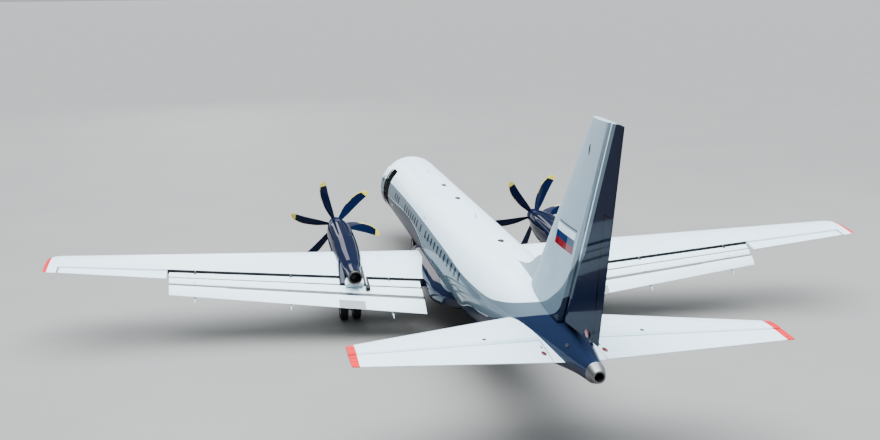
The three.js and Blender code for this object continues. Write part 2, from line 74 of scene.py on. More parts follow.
# Fuselage: station, rise of the centre over the cabin's middle, half width, up, down
FUSELAGE_ROWS = [
    (0.00, -0.430, 0.06, 0.06, 0.06),
    (0.10, -0.420, 0.26, 0.25, 0.25),
    (0.40, -0.380, 0.58, 0.56, 0.53),
    (0.95, -0.280, 0.95, 0.96, 0.90),
    (1.60, -0.110, 1.25, 1.30, 1.21),
    (2.40, 0.000, 1.43, 1.43, 1.43),
    (18.0, 0.000, 1.43, 1.43, 1.43),
    (20.5, 0.110, 1.29, 1.27, 1.20),
    (23.0, 0.290, 0.96, 0.955, 0.84),
    (25.0, 0.395, 0.59, 0.62, 0.52),
    (26.4, 0.450, 0.32, 0.33, 0.30),
    (27.13, 0.460, 0.185, 0.26, 0.25),
]
FUSELAGE_PARTS = [
    ("nose_cone", 0.0, 0.95),
    ("forward_fuselage", 0.95, 8.0),
    ("centre_fuselage", 8.0, 15.5),
    ("rear_fuselage", 15.5, 22.3),
    ("tail_cone", 22.3, 26.4),
    ("auxiliary_exhaust", 26.4, 27.13),
]

# Bare end of the auxiliary exhaust: station, centre height, half width, up, down
CONE_FROM = 26.86
CONE_ROWS = [
    (26.86, 3.2, 0.248, 0.284, 0.268),
    (27.02, 3.2, 0.2, 0.215, 0.21),
    (27.13, 3.2, 0.155, 0.16, 0.16),
]

# Fairing where the wing meets the belly: station, centre height, half width, up, down
FAIRING_ROWS = [
    (9.7, 1.75, 0.90, 0.25, 0.25),
    (10.7, 1.69, 1.56, 0.56, 0.52),
    (11.7, 1.66, 1.74, 0.70, 0.60),
    (15.3, 1.64, 1.74, 0.64, 0.58),
    (16.4, 1.70, 1.50, 0.50, 0.45),
    (17.3, 1.80, 0.90, 0.25, 0.25),
]

# Wing: x, front edge station and height, back edge station and height, thickness
WING_ROWS = [
    (1.5, 11.478, 1.99, 15.278, 1.41, 0.15),
    (10.8, 12.49, 2.61, 14.72, 2.40, 0.13),
    (15.0, 12.95, 2.89, 14.55, 2.81, 0.12),
]
CAMBER = 0.01
BOX_END = 0.73
HINGE_SHARE = 0.775
FLAP_FROM, FLAP_TO = 1.88, 10.78
AILERON_FROM, AILERON_TO = 10.86, 14.48
TIP_FROM = 14.56

# Flap: x, lip station and height, back edge station and height
FLAP_LINE = [(1.88, 14.262, 1.745, 15.83, 0.985), (10.78, 14.15, 2.50, 14.975, 1.90)]
FLAP_STRIPS = {"vane": (0.05, 0.275, 0.17), "main": (0.30, 0.56, 0.20), "aft": (0.585, 1.0, 0.13)}
FLAP_ARCH = 0.05
TRACK_PLACES = (3.05, 6.6, 9.9)

# Nacelle: station, centre height, half width, up, down
COWL_ROWS = [
    (8.70, 2.48, 0.33, 0.32, 0.50),
    (9.15, 2.47, 0.43, 0.42, 0.62),
    (10.0, 2.44, 0.50, 0.51, 0.74),
    (11.4, 2.38, 0.51, 0.49, 0.80),
    (12.8, 2.28, 0.47, 0.40, 0.60),
    (13.9, 2.23, 0.36, 0.30, 0.33),
]
POD_ROWS = [
    (10.1, 2.05, 0.30, 0.20, 0.12),
    (10.9, 1.85, 0.50, 0.40, 0.33),
    (12.2, 1.80, 0.54, 0.40, 0.46),
    (13.5, 1.78, 0.50, 0.28, 0.44),
    (14.08, 1.76, 0.36, 0.20, 0.20),
]
JET_PIPE_ROWS = [
    (13.9, 2.23, 0.36, 0.30, 0.33),
    (14.35, 2.20, 0.29, 0.255, 0.24),
    (15.0, 2.19, 0.245, 0.245, 0.245),
]
PIPE_END, PIPE_HEIGHT = 15.0, 2.19
COWL_SQUARENESS, POD_SQUARENESS = 2.3, 2.6

# Tailplane: x, front edge station and height, hinge station, back edge station and height, thickness
TAIL_ROWS = [(0.3, 22.4, 3.11, 24.72, 25.91, 3.11, 0.11), (5.7, 24.48, 3.31, 25.23, 25.83, 3.31, 0.10)]
ELEVATOR_FROM = 0.7
WICK = 0.05
TAIL_ROOT_TO = 0.68
# Fin: height, front edge station, hinge station, back edge station, thickness
FIN_ROWS = [(3.6, 21.66, 25.02, 26.90, 0.11), (9.2, 25.98, 27.20, 27.76, 0.10)]
RUDDER_FOOT = 3.9
FIN_TOP = 9.2

# Propeller
SHAFT_STATION, SHAFT_HEIGHT, BLADE_REACH = 8.33, 2.48, 1.91
FIRST_BLADE = {"port": 20.2, "starboard": 41.5}


# Shapes


def at(x, station, z):
    """A point of the aircraft in the frame."""
    return Vector((x, station - NOSE, z))


def mix(a, b, share):
    """The value a share of the way from one to another."""
    return a + (b - a) * share


def slope(rows, index, column):
    """The slope of a smooth curve at one of its rows, without overshoot."""
    sides = []
    for a, b in ((index - 1, index), (index, index + 1)):
        if a >= 0 and b < len(rows):
            sides.append((rows[b][column] - rows[a][column]) / (rows[b][0] - rows[a][0]))
    if len(sides) == 1:
        return sides[0]
    before, after = sides
    return 2 * before * after / (before + after) if before * after > 0 else 0


def curve_row(rows, place, smooth=True):
    """A row worked out between the rows of a table."""
    index = next((i for i in range(len(rows) - 1) if place <= rows[i + 1][0]), len(rows) - 2)
    a, b = rows[index], rows[index + 1]
    span = b[0] - a[0]
    t = (place - a[0]) / span
    values = []
    for column in range(1, len(a)):
        if not smooth:
            values.append(mix(a[column], b[column], t))
            continue
        start, end = slope(rows, index, column) * span, slope(rows, index + 1, column) * span
        values.append(
            (2 * t**3 - 3 * t**2 + 1) * a[column] + (t**3 - 2 * t**2 + t) * start
            + (3 * t**2 - 2 * t**3) * b[column] + (t**3 - t**2) * end
        )
    return values


def finish_faces(verts, finish):
    """Gives the faces that meet at some corners the piece's finish of that number."""
    for face in {face for vert in verts for face in vert.link_faces}:
        face.material_index = finish


def skin(bm, around, along, place, closed=True, capped=True, finish=0):
    """A surface through place(turn, run), both from 0 to 1. closed joins the two sides."""
    old_edges = set(bm.edges)
    grid = bmesh.ops.create_grid(bm, x_segments=around, y_segments=along, size=0.5)["verts"]
    for vert in grid:
        vert.co = place(vert.co.x + 0.5, vert.co.y + 0.5)
    finish_faces(grid, finish)
    if closed:
        bmesh.ops.remove_doubles(bm, verts=grid, dist=1e-5)
        if capped:
            rims = [edge for edge in bm.edges if edge.is_boundary and edge not in old_edges]
            for face in bmesh.ops.holes_fill(bm, edges=rims, sides=0)["faces"]:
                face.material_index = finish


def piece(name, bm, finishes, body="airframe", replaces=(), slot="white_paint", crease=35, outward=True):
    """Makes a named piece of a bmesh. It rides on a body and may stand for CAD nodes."""
    if outward:
        bmesh.ops.recalc_face_normals(bm, faces=bm.faces)
    mesh = bpy.data.meshes.new(name)
    bm.to_mesh(mesh)
    bm.free()
    for finish in finishes:
        mesh.materials.append(finish)
    mesh.shade_smooth()
    mesh.set_sharp_from_angle(angle=math.radians(crease))
    made = bpy.data.objects.new(name, mesh)
    bpy.context.scene.collection.objects.link(made)
    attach(made, body)
    if replaces:
        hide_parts(*replaces)
    return made


def cut(made, tool_bm, finish, operation="DIFFERENCE"):
    """Takes a closed shape out of a piece, or joins it on. The walls get the piece's finish of that
    number."""
    for face in tool_bm.faces:
        face.material_index = finish
    bmesh.ops.recalc_face_normals(tool_bm, faces=tool_bm.faces)
    mesh = bpy.data.meshes.new("cutter")
    tool_bm.to_mesh(mesh)
    tool_bm.free()
    for used in made.data.materials:
        mesh.materials.append(used)
    tool = bpy.data.objects.new("cutter", mesh)
    bpy.context.scene.collection.objects.link(tool)
    modifier = made.modifiers.new("cut", "BOOLEAN")
    modifier.operation = operation
    modifier.solver = "EXACT"
    modifier.object = tool
    bpy.context.view_layer.update()
    graph = bpy.context.evaluated_depsgraph_get()
    result = bpy.data.meshes.new_from_object(made.evaluated_get(graph))
    made.modifiers.clear()
    made.data = result
    result.set_sharp_from_angle(angle=math.radians(35))
    bpy.data.objects.remove(tool)


def aimed(direction):
    """A turn that takes +Z to a direction."""
    return direction.to_track_quat("Z", "Y").to_matrix().to_4x4()


def rod(bm, start, end, radius, sides=24, end_radius=None, finish=0):
    """A round rod between two points, or a cone with another radius at its end."""
    run = end - start
    made = bmesh.ops.create_cone(
        bm, cap_ends=True, segments=sides, radius1=radius,
        radius2=radius if end_radius is None else end_radius, depth=run.length,
        matrix=Matrix.Translation((start + end) / 2) @ aimed(run),
    )["verts"]
    finish_faces(made, finish)


def block(bm, middle, size, finish=0, edge=0.006, turn=None):
    """A box with rounded edges."""
    matrix = Matrix.Translation(middle) @ (turn or Matrix()) @ Matrix.Diagonal((*size, 1))
    made = bmesh.ops.create_cube(bm, size=1, matrix=matrix)["verts"]
    edges = list({link for vert in made for link in vert.link_edges})
    finish_faces(made, finish)
    if edge:
        bmesh.ops.bevel(bm, geom=edges, offset=edge, offset_type="OFFSET", segments=2,
                        profile=0.5, affect="EDGES", material=-1)


def turned(bm, profile, middle, axis, steps, finish=0):
    """A round body: its profile holds (distance along the axis, radius) pairs."""
    old = set(bm.faces)
    place = Matrix.Translation(middle) @ aimed(Vector(axis))
    verts = [bm.verts.new(place @ Vector((radius, 0, along))) for along, radius in profile]
    edges = [bm.edges.new(pair) for pair in zip(verts, verts[1:])]
    bmesh.ops.spin(bm, geom=verts + edges, cent=middle, axis=Vector(axis).normalized(),
                   angle=math.tau, steps=steps, use_merge=True)
    made = [face for face in bm.faces if face not in old]
    for face in made:
        face.material_index = finish
    bmesh.ops.remove_doubles(bm, verts=list({vert for face in made for vert in face.verts}), dist=1e-5)


def ribbon(bm, points, width, normal_of, finish=0):
    """A flat band of one width along points. normal_of(point) is the way out of the surface."""
    count = len(points) - 1

    def place(turn, run):
        index = min(int(round(run * count)), count)
        before, after = points[max(index - 1, 0)], points[min(index + 1, count)]
        out = normal_of(points[index])
        across = (after - before).cross(out).normalized()
        return points[index] + across * (turn - 0.5) * width

    skin(bm, 1, count, place, closed=False, finish=finish)


def plate(bm, columns, rows, point, thick=0.004, finish=0):
    """A thin plate bent to the surface that point(turn, run) gives."""
    old = set(bm.faces)
    skin(bm, columns, rows, point, closed=False, finish=finish)
    bmesh.ops.solidify(bm, geom=[face for face in bm.faces if face not in old], thickness=thick)


def boom(bm, rows, squareness=2, finish=0, side=1):
    """A slim body along the aircraft: its rows give station, x, height, half width and half height."""
    first, last = rows[0][0], rows[-1][0]

    def place(turn, run):
        station = mix(first, last, run)
        x, z, wide, high = curve_row(rows, station)
        across, rise = superellipse(turn, squareness)
        return at(side * (x + across * wide), station, z + rise * high)

    skin(bm, 28, 24, place, finish=finish)


def smooth_line(points, steps):
    """A smooth curve through points that run aft."""
    first, last = points[0][0], points[-1][0]
    stations = [mix(first, last, number / steps) for number in range(steps + 1)]
    return [(station, *curve_row(points, station)) for station in stations]


def superellipse(turn, squareness):
    """A point of a rounded outline, half size 1."""
    angle = turn * math.tau
    side, rise = math.cos(angle), math.sin(angle)
    return (
        math.copysign(abs(side) ** (2 / squareness), side),
        math.copysign(abs(rise) ** (2 / squareness), rise),
    )


def hull_point(rows, x, squareness, station, turn, out=0.0):
    """A point of a round body along the aircraft."""
    height, half, up, down = curve_row(rows, station)
    side, rise = superellipse(turn, squareness)
    reach = (up if rise > 0 else down) + out
    return at(x + side * (half + out), station, height + rise * reach)


def hull_skin(bm, rows, around, along, x=0, squareness=2, capped=True):
    """The skin of a round body along the aircraft."""
    first, last = rows[0][0], rows[-1][0]

    def place(turn, run):
        return hull_point(rows, x, squareness, mix(first, last, run), turn)

    skin(bm, around, along, place, capped=capped)


FUSELAGE_TABLE = [(row[0], FUSELAGE_HEIGHT + row[1], *row[2:]) for row in FUSELAGE_ROWS]


def fuselage_point(station, turn, out=0.0):
    """A point of the fuselage. turn 0 is to port and 0.25 is up."""
    return hull_point(FUSELAGE_TABLE, 0, 2, station, turn, out)


def wall_point(side, station, z, out=0.0):
    """A point of the fuselage's side at a height."""
    height, half, up, down = curve_row(FUSELAGE_TABLE, station)
    reach = up if z > height else down
    angle = math.asin(max(-1.0, min(1.0, (z - height) / reach)))
    return at(side * math.cos(angle) * (half + out), station, height + math.sin(angle) * (reach + out))


def fuselage_out(point):
    """The way out of the fuselage at a point."""
    height = curve_row(FUSELAGE_TABLE, point.y + NOSE)[0]
    return Vector((point.x, 0, point.z - height)).normalized()


def half_thickness(share, thickness):
    """Half a wing section's thickness at a share of its chord, for a chord of 1."""
    round_part = 0.2969 * math.sqrt(share) - 0.126 * share - 0.3516 * share**2
    return 5 * thickness * (round_part + 0.2843 * share**3 - 0.1015 * share**4)


def section_point(front, back, thickness, share, side):
    """A point of a wing section: side 1 is its top, -1 its underside."""
    run = (back[0] - front[0], back[1] - front[1])
    chord = math.hypot(*run)
    along = (run[0] / chord, run[1] / chord)
    rise = CAMBER * 4 * share * (1 - share) * chord + side * half_thickness(share, thickness) * chord
    return (front[0] + along[0] * share * chord - along[1] * rise,
            front[1] + along[1] * share * chord + along[0] * rise)


def around_section(front, back, thickness, turn, end):
    """Goes round a section cut off at a share of its chord: underside, top, then the cut."""
    if turn <= 0.48:
        return section_point(front, back, thickness, end * (1 - turn / 0.48) ** 2, -1)
    if turn <= 0.96:
        return section_point(front, back, thickness, end * ((turn - 0.48) / 0.48) ** 2, 1)
    return section_point(front, back, thickness, end, 1 - 2 * (turn - 0.96) / 0.04)


def around_control(hinge, back, radius, turn, edge=0.009):
    """Goes round a control surface: underside, round nose about the hinge, top, back edge."""
    angle = math.atan2(back[1] - hinge[1], back[0] - hinge[0])
    normal = (-math.sin(angle), math.cos(angle))
    if turn < 0.4:
        share = turn / 0.4
        start = (back[0] - normal[0] * edge, back[1] - normal[1] * edge)
        stop = (hinge[0] - normal[0] * radius, hinge[1] - normal[1] * radius)
        return mix(start[0], stop[0], share), mix(start[1], stop[1], share)
    if turn <= 0.6:
        swing = angle - math.pi / 2 - (turn - 0.4) / 0.2 * math.pi
        return hinge[0] + math.cos(swing) * radius, hinge[1] + math.sin(swing) * radius
    if turn <= 0.98:
        share = (turn - 0.6) / 0.38
        start = (hinge[0] + normal[0] * radius, hinge[1] + normal[1] * radius)
        stop = (back[0] + normal[0] * edge, back[1] + normal[1] * edge)
        return mix(start[0], stop[0], share), mix(start[1], stop[1], share)
    share = 1 - 2 * (turn - 0.98) / 0.02
    return back[0] + normal[0] * edge * share, back[1] + normal[1] * edge * share


def wing_at(x):
    """The wing's front and back edge at x, each (station, height), and its thickness."""
    s1, z1, s2, z2, thickness = curve_row(WING_ROWS, x, smooth=False)
    return (s1, z1), (s2, z2), thickness


def span_skin(bm, side, around, along, first, last, section):
    """A skin along the span. section(x, turn) gives the station and height at x."""

    def place(turn, run):
        x = mix(first, last, run)
        return at(side * x, *section(x, turn))

    skin(bm, around, along, place)


def flap_point(x, share):
    """A point of the lowered flap's arched line, from its lip to its back edge."""
    s1, z1, s2, z2 = curve_row(FLAP_LINE, x, smooth=False)
    rise = math.sin(share * math.pi) * FLAP_ARCH * math.hypot(s2 - s1, z2 - z1)
    return mix(s1, s2, share), mix(z1, z2, share) + rise - 0.012


def tail_at(x):
    """The tailplane's front edge, hinge and back edge at x, and its thickness."""
    s1, z1, hinge, s2, z2, thickness = curve_row(TAIL_ROWS, x, smooth=False)
    return (s1, z1), (hinge, z1), (s2, z2), thickness


def fin_at(z):
    """The fin's front edge, hinge and back edge at a height, each (station, x), and its thickness."""
    s1, hinge, s2, thickness = curve_row(FIN_ROWS, z, smooth=False)
    return (s1, 0), (hinge, 0), (s2, 0), thickness


def hinge_radius(front, hinge, back, thickness):
    """Half the thickness of a tail surface at its hinge."""
    chord = back[0] - front[0]
    return half_thickness((hinge[0] - front[0]) / chord, thickness) * chord


def fixed_section(front, hinge, back, thickness, turn, gap):
    """Goes round a tail surface that ends a gap ahead of its moving part."""
    end = (hinge[0] - hinge_radius(front, hinge, back, thickness) - gap - front[0]) / (back[0] - front[0])
    return around_section(front, back, thickness, turn, end)


def moving_section(front, hinge, back, thickness, turn):
    """Goes round the moving part of a tail surface."""
    return around_control(hinge, back, hinge_radius(front, hinge, back, thickness), turn)


# Materials


def linear(hexed):
    """A colour written as sRGB hex, as Blender's linear numbers."""
    parts = [int(hexed[i:i + 2], 16) / 255 for i in (1, 3, 5)]
    return (*(p / 12.92 if p <= 0.04045 else ((p + 0.055) / 1.055) ** 2.4 for p in parts), 1)


def connect(tree, node, inputs):
    """Sets a node's inputs, each from a number, a colour or another node's output."""
    for name, value in inputs.items() if isinstance(inputs, dict) else enumerate(inputs):
        if isinstance(value, bpy.types.NodeSocket):
            tree.links.new(value, node.inputs[name])
        else:
            node.inputs[name].default_value = value


def add(tree, kind, inputs=(), **settings):
    """Adds a node with its settings and links."""
    made = tree.nodes.new(kind)
    for name, value in settings.items():
        setattr(made, name, value)
    connect(tree, made, inputs)
    return made


def material(name, inputs):
    """A material with its main shader's own inputs set. Returns it with its tree and the shader."""
    made = bpy.data.materials.new(name)
    made.use_nodes = True
    shader = made.node_tree.nodes["Principled BSDF"]
    connect(made.node_tree, shader, inputs)
    return made, made.node_tree, shader


WHITE = linear("#D6ECF7")
# The fin's white, darker than the hull's: painted shade on the fin's upright sides
SHADED_FIN_WHITE = linear("#99ABB7")
NAVY = linear("#0C1328")
HULL_NAVY = linear("#152037")
BAND_GREY = linear("#55646F")
# The grey that the band turns into high on the fin, a little darker than the fin's white: painted shade along
# its back edge
EDGE_SHADE_GREY = linear("#7F919D")
# A dark grey by the rudder's hinge, low on the fin and rudder: painted shade
SHADE_PATCH_GREY = linear("#323C45")
SEAM_DARK = linear("#04060A")
RED = linear("#CE0A1C")
FLAG_RED = linear("#740818")
FLAG_BLUE = linear("#04224E")
BAR_GREY = linear("#55616A")


def paint_over(tree, share, under, over):
    """Paints one colour over another where share is 1."""
    return add(tree, "ShaderNodeMix", {0: share, 6: under, 7: over}, data_type="RGBA").outputs[2]


def step(tree, value, edge, softness=0.004):
    """0 below an edge and 1 above it."""
    offset = add(tree, "ShaderNodeMath", (value, edge), operation="SUBTRACT").outputs[0]
    scaled = add(tree, "ShaderNodeMath", (offset, softness), operation="DIVIDE").outputs[0]
    return add(tree, "ShaderNodeMath", (scaled, 0.5), operation="ADD", use_clamp=True).outputs[0]


def below(tree, value, edge):
    """1 below an edge and 0 above it."""
    return add(tree, "ShaderNodeMath", (1.0, step(tree, value, edge)), operation="SUBTRACT").outputs[0]


def both(tree, *masks):
    """The masks multiplied: 1 where all of them are 1."""
    result = masks[0]
    for mask in masks[1:]:
        result = add(tree, "ShaderNodeMath", (result, mask), operation="MULTIPLY").outputs[0]
    return result


def axes(tree):
    """The place on the aircraft: x, station and z."""
    place = add(tree, "ShaderNodeTexCoord").outputs["Object"]
    split = add(tree, "ShaderNodeSeparateXYZ", (place,)).outputs
    station = add(tree, "ShaderNodeMath", (split[1], NOSE), operation="ADD").outputs[0]
    return split[0], station, split[2]


# Real sizes in mm of what shows in paint on sheet. Seams are 1 to 2 wide, too fine to show, and are
# drawn coarser. Streaks run along the pattern's first axis. Sheet swells a little between its frames.
SEAM_MM = 6
STREAK_MM = (909, 151.5, 454.5)
SWELL_MM = 625
# A panel larger than the piece, where it has no seams
NO_SEAMS = (9000, 9000)


def paint_surface(tree, shader, colour, along, across, panel, wear):
    """What sprayed gloss paint on riveted sheet shows: seams, panels a little unlike each other,
    faint streaks, and gloss that changes from place to place. panel is in mm."""
    vector = add(tree, "ShaderNodeCombineXYZ", (along, across, 0.0)).outputs[0]
    bricks = add(tree, "ShaderNodeTexBrick", {
        "Vector": vector, "Color1": (1, 1, 1, 1), "Color2": (0.975, 0.975, 0.975, 1),
        "Mortar": (0.9, 0.9, 0.91, 1), "Scale": 1.0, "Mortar Size": SEAM_MM / 1000, "Mortar Smooth": 0.8,
        "Brick Width": panel[0] / 1000, "Row Height": panel[1] / 1000,
    }, offset=0.5)
    stretched = add(tree, "ShaderNodeMapping", {
        "Vector": vector, "Scale": tuple(1000 / size for size in STREAK_MM),
    })
    streaks = add(tree, "ShaderNodeTexNoise", {
        "Vector": stretched.outputs[0], "Scale": 1.0, "Detail": 5.0, "Roughness": 0.6,
    }).outputs[0]
    shade = add(tree, "ShaderNodeMapRange", {
        "Value": streaks, "From Min": 0.3, "From Max": 0.75, "To Min": 1.0, "To Max": 1.0 - wear,
    })
    gloss = add(tree, "ShaderNodeMapRange", {
        "Value": streaks, "From Min": 0.25, "From Max": 0.8, "To Min": 0.22, "To Max": 0.4,
    })
    for darker in (bricks.outputs["Color"], shade.outputs[0]):
        colour = add(tree, "ShaderNodeMix", {0: 1.0, 6: colour, 7: darker}, data_type="RGBA",
                     blend_type="MULTIPLY").outputs[2]
    ripple = add(tree, "ShaderNodeTexNoise", {"Vector": vector, "Scale": 1000 / SWELL_MM, "Detail": 2.0})
    groove = add(tree, "ShaderNodeMath", (bricks.outputs["Fac"], -0.04), operation="MULTIPLY")
    swell = add(tree, "ShaderNodeMath", (ripple.outputs[0], 0.5), operation="MULTIPLY")
    relief = add(tree, "ShaderNodeMath", (groove.outputs[0], swell.outputs[0]), operation="ADD")
    bump = add(tree, "ShaderNodeBump", {"Height": relief.outputs[0], "Strength": 0.12, "Distance": 0.002})
    connect(tree, shader, {"Base Color": colour, "Roughness": gloss.outputs[0], "Normal": bump.outputs[0]})


def gloss_paint(name, coat=0.1, sheen=0.5):
    """Two-pack polyurethane over aluminium sheet: deep and wet looking, with a clear coat."""
    return material(name, {
        "IOR": 1.5, "Specular IOR Level": sheen, "Coat Weight": coat, "Coat Roughness": 0.04,
    })


# Coat and sheen of each paint. The gloss of dark paint is in its clear coat alone, and is held down
# where it would mirror the pale floor.
HULL_GLOSS = (0.38, 0.0)
NAVY_GLOSS = (0.55, 0.0)
DARK_GLOSS = (0.2, 0.0)
FIN_GLOSS = (0.12, 0.0)
LAMP_GLOSS = (0.6, 0.5)
# Height of the livery's edges along the aircraft: (station, height)
BAND_TOP = [(1.2, 3.20), (4.0, 3.32), (16.2, 3.32), (18.4, 3.26), (19.9, 3.26), (20.7, 3.28), (21.4, 3.33),
            (21.95, 3.43), (22.6, 3.59), (23.25, 3.80), (23.84, 4.02), (24.44, 4.37), (24.99, 4.78),
            (25.30, 5.13), (25.60, 5.57), (25.99, 6.49), (27.0, 9.2)]
BAND_FOOT = [(1.2, 2.68), (4.0, 2.74), (11.9, 2.74), (12.5, 2.45), (14.0, 2.28), (15.45, 2.12), (16.54, 1.99),
             (17.6, 2.02), (18.7, 2.23), (19.75, 2.58), (20.9, 2.72), (21.56, 2.83), (22.46, 3.11),
             (23.6, 3.53), (24.02, 3.70), (24.58, 3.93), (24.92, 4.20), (25.2, 4.58), (27.2, 4.62)]
# The band starts behind the nose, the white line under it ends before the tail, and the band's grey
# comes down over the belly fairing's shoulder behind the wing
BAND_FROM, LINE_TO, SHOULDER_FROM = 1.9, 21.4, 14.9
LINE_WIDTH = 0.02
HINGE_LEAN = (FIN_ROWS[1][2] - FIN_ROWS[0][2]) / (FIN_ROWS[1][0] - FIN_ROWS[0][0])
# Rudder's tab: its hinge is at this station at height 0 and leans aft by so much for each metre up
TAB_FOOT, TAB_LEAN, TAB_TOP = 26.285, 0.102, 7.1
# Height of the foot of the painted shade by the rudder's hinge, and of its head on the fin
SHADE_FOOT, SHADE_HEAD = 4.6, 5.66


def edge_curve(tree, station, points):
    """A height that follows points along the aircraft, through a curve node."""
    low, high = points[0][0], points[-1][0]
    top = 10.0
    share = add(tree, "ShaderNodeMapRange", {"Value": station, "From Min": low, "From Max": high})
    made = add(tree, "ShaderNodeFloatCurve", {"Value": share.outputs[0]})
    curve = made.mapping.curves[0]
    curve.points[0].location = (0, points[0][1] / top)
    curve.points[1].location = (1, points[-1][1] / top)
    for place, height in points[1:-1]:
        curve.points.new((place - low) / (high - low), height / top)
    made.mapping.update()
    return add(tree, "ShaderNodeMath", (made.outputs[0], top), operation="MULTIPLY").outputs[0]


def banded(tree, station, z, line, white=WHITE, band=BAND_GREY, navy=NAVY):
    """White over a grey band, a thin white line, and navy under it."""
    top = edge_curve(tree, station, BAND_TOP)
    foot = edge_curve(tree, station, BAND_FOOT)
    aft = step(tree, station, BAND_FROM, 0.02)
    colour = paint_over(tree, both(tree, below(tree, z, top), aft), white, band)
    colour = paint_over(tree, both(tree, below(tree, z, foot), aft), colour, WHITE)
    width = both(tree, below(tree, station, LINE_TO), line)
    lower = add(tree, "ShaderNodeMath", (foot, width), operation="SUBTRACT").outputs[0]
    return paint_over(tree, below(tree, z, lower), colour, navy)


def fuselage_paint():
    """The livery along the fuselage, on sheets that are laid out round its girth."""
    made, tree, shader = gloss_paint("polyurethane_fuselage_livery", *HULL_GLOSS)
    x, station, z = axes(tree)
    colour = banded(tree, station, z, LINE_WIDTH, navy=HULL_NAVY)
    rise = add(tree, "ShaderNodeMath", (z, FUSELAGE_HEIGHT), operation="SUBTRACT").outputs[0]
    angle = add(tree, "ShaderNodeMath", (rise, x), operation="ARCTAN2").outputs[0]
    girth = add(tree, "ShaderNodeMath", (angle, FUSELAGE_RADIUS), operation="MULTIPLY").outputs[0]
    paint_surface(tree, shader, colour, station, girth, (1450, 620), 0.04)
    return made


def fairing_paint():
    """The belly fairing: navy, with the grey of the band over its shoulder behind the wing."""
    made, tree, shader = gloss_paint("polyurethane_fairing_livery", *NAVY_GLOSS)
    station, z = axes(tree)[1:]
    foot = edge_curve(tree, station, BAND_FOOT)
    high = both(tree, step(tree, z, foot), step(tree, station, SHOULDER_FROM))
    colour = paint_over(tree, high, NAVY, BAND_GREY)
    paint_surface(tree, shader, colour, station, z, (900, 500), 0.08)
    return made


def past_hinge(tree, station, z):
    """How far a point of the fin lies behind the rudder's hinge."""
    foot = FIN_ROWS[0][2] - FIN_ROWS[0][0] * HINGE_LEAN
    line = add(tree, "ShaderNodeMath", (z, HINGE_LEAN, foot), operation="MULTIPLY_ADD").outputs[0]
    return add(tree, "ShaderNodeMath", (station, line), operation="SUBTRACT").outputs[0]


def flag_place(tree, station, z):
    """Where a point of the fin lies on the flag: how far along and how far up it."""
    # lower front corner, length and height, and how far its edges lean aft and rise
    foot, long, high, lean, rise = (24.26, 5.76), 1.24, 0.585, 0.27, -0.02
    up = add(tree, "ShaderNodeMath", (z, foot[1]), operation="SUBTRACT").outputs[0]
    behind = add(tree, "ShaderNodeMath", (station, foot[0]), operation="SUBTRACT").outputs[0]
    leaning = add(tree, "ShaderNodeMath", (up, lean), operation="MULTIPLY").outputs[0]
    along = add(tree, "ShaderNodeMath", (behind, leaning), operation="SUBTRACT").outputs[0]
    u = add(tree, "ShaderNodeMath", (along, long), operation="DIVIDE").outputs[0]
    risen = add(tree, "ShaderNodeMath", (u, rise), operation="MULTIPLY").outputs[0]
    above = add(tree, "ShaderNodeMath", (up, risen), operation="SUBTRACT").outputs[0]
    return u, add(tree, "ShaderNodeMath", (above, high), operation="DIVIDE").outputs[0]


def fin_paint():
    """White with the band running up its back edge, a three-colour flag and a plain grey bar over it. The
    darker white, the band's pale top and a patch by the hinge are painted shade.
    """
    made, tree, shader = gloss_paint("polyurethane_fin_livery", *FIN_GLOSS)
    station, z = axes(tree)[1:]
    # low on the fin the band's grey is livery; higher up it turns into a grey that is painted shade along the
    # back edge
    band_and_edge_shade = paint_over(tree, step(tree, z, 6.0, 1.4), BAND_GREY, EDGE_SHADE_GREY)
    colour = banded(tree, station, z, 0.0, SHADED_FIN_WHITE, band_and_edge_shade)
    u, v = flag_place(tree, station, z)
    inside = both(tree, step(tree, u, 0.0), below(tree, u, 1.0), step(tree, v, 0.0))
    # each stripe covers the lower part of the one before
    for top, hue in ((1.0, WHITE), (0.667, FLAG_BLUE), (0.333, FLAG_RED)):
        colour = paint_over(tree, both(tree, inside, below(tree, v, top)), colour, hue)
    # the flag's aft third is a tenth lighter
    lighter_aft_third = both(tree, inside, step(tree, u, 0.65), below(tree, v, 1.0), 0.1)
    colour = paint_over(tree, lighter_aft_third, colour, WHITE)
    bar = both(tree, step(tree, u, 0.08), below(tree, u, 1.05), step(tree, v, 1.07), below(tree, v, 1.16))
    colour = paint_over(tree, bar, colour, BAR_GREY)
    # a patch behind the hinge, low on the fin, is dark grey: painted shade
    behind = step(tree, past_hinge(tree, station, z), -0.17)
    panel = both(tree, behind, below(tree, z, SHADE_HEAD), step(tree, z, SHADE_FOOT))
    colour = paint_over(tree, panel, colour, SHADE_PATCH_GREY)
    paint_surface(tree, shader, colour, station, z, (1100, 800), 0.04)
    return made


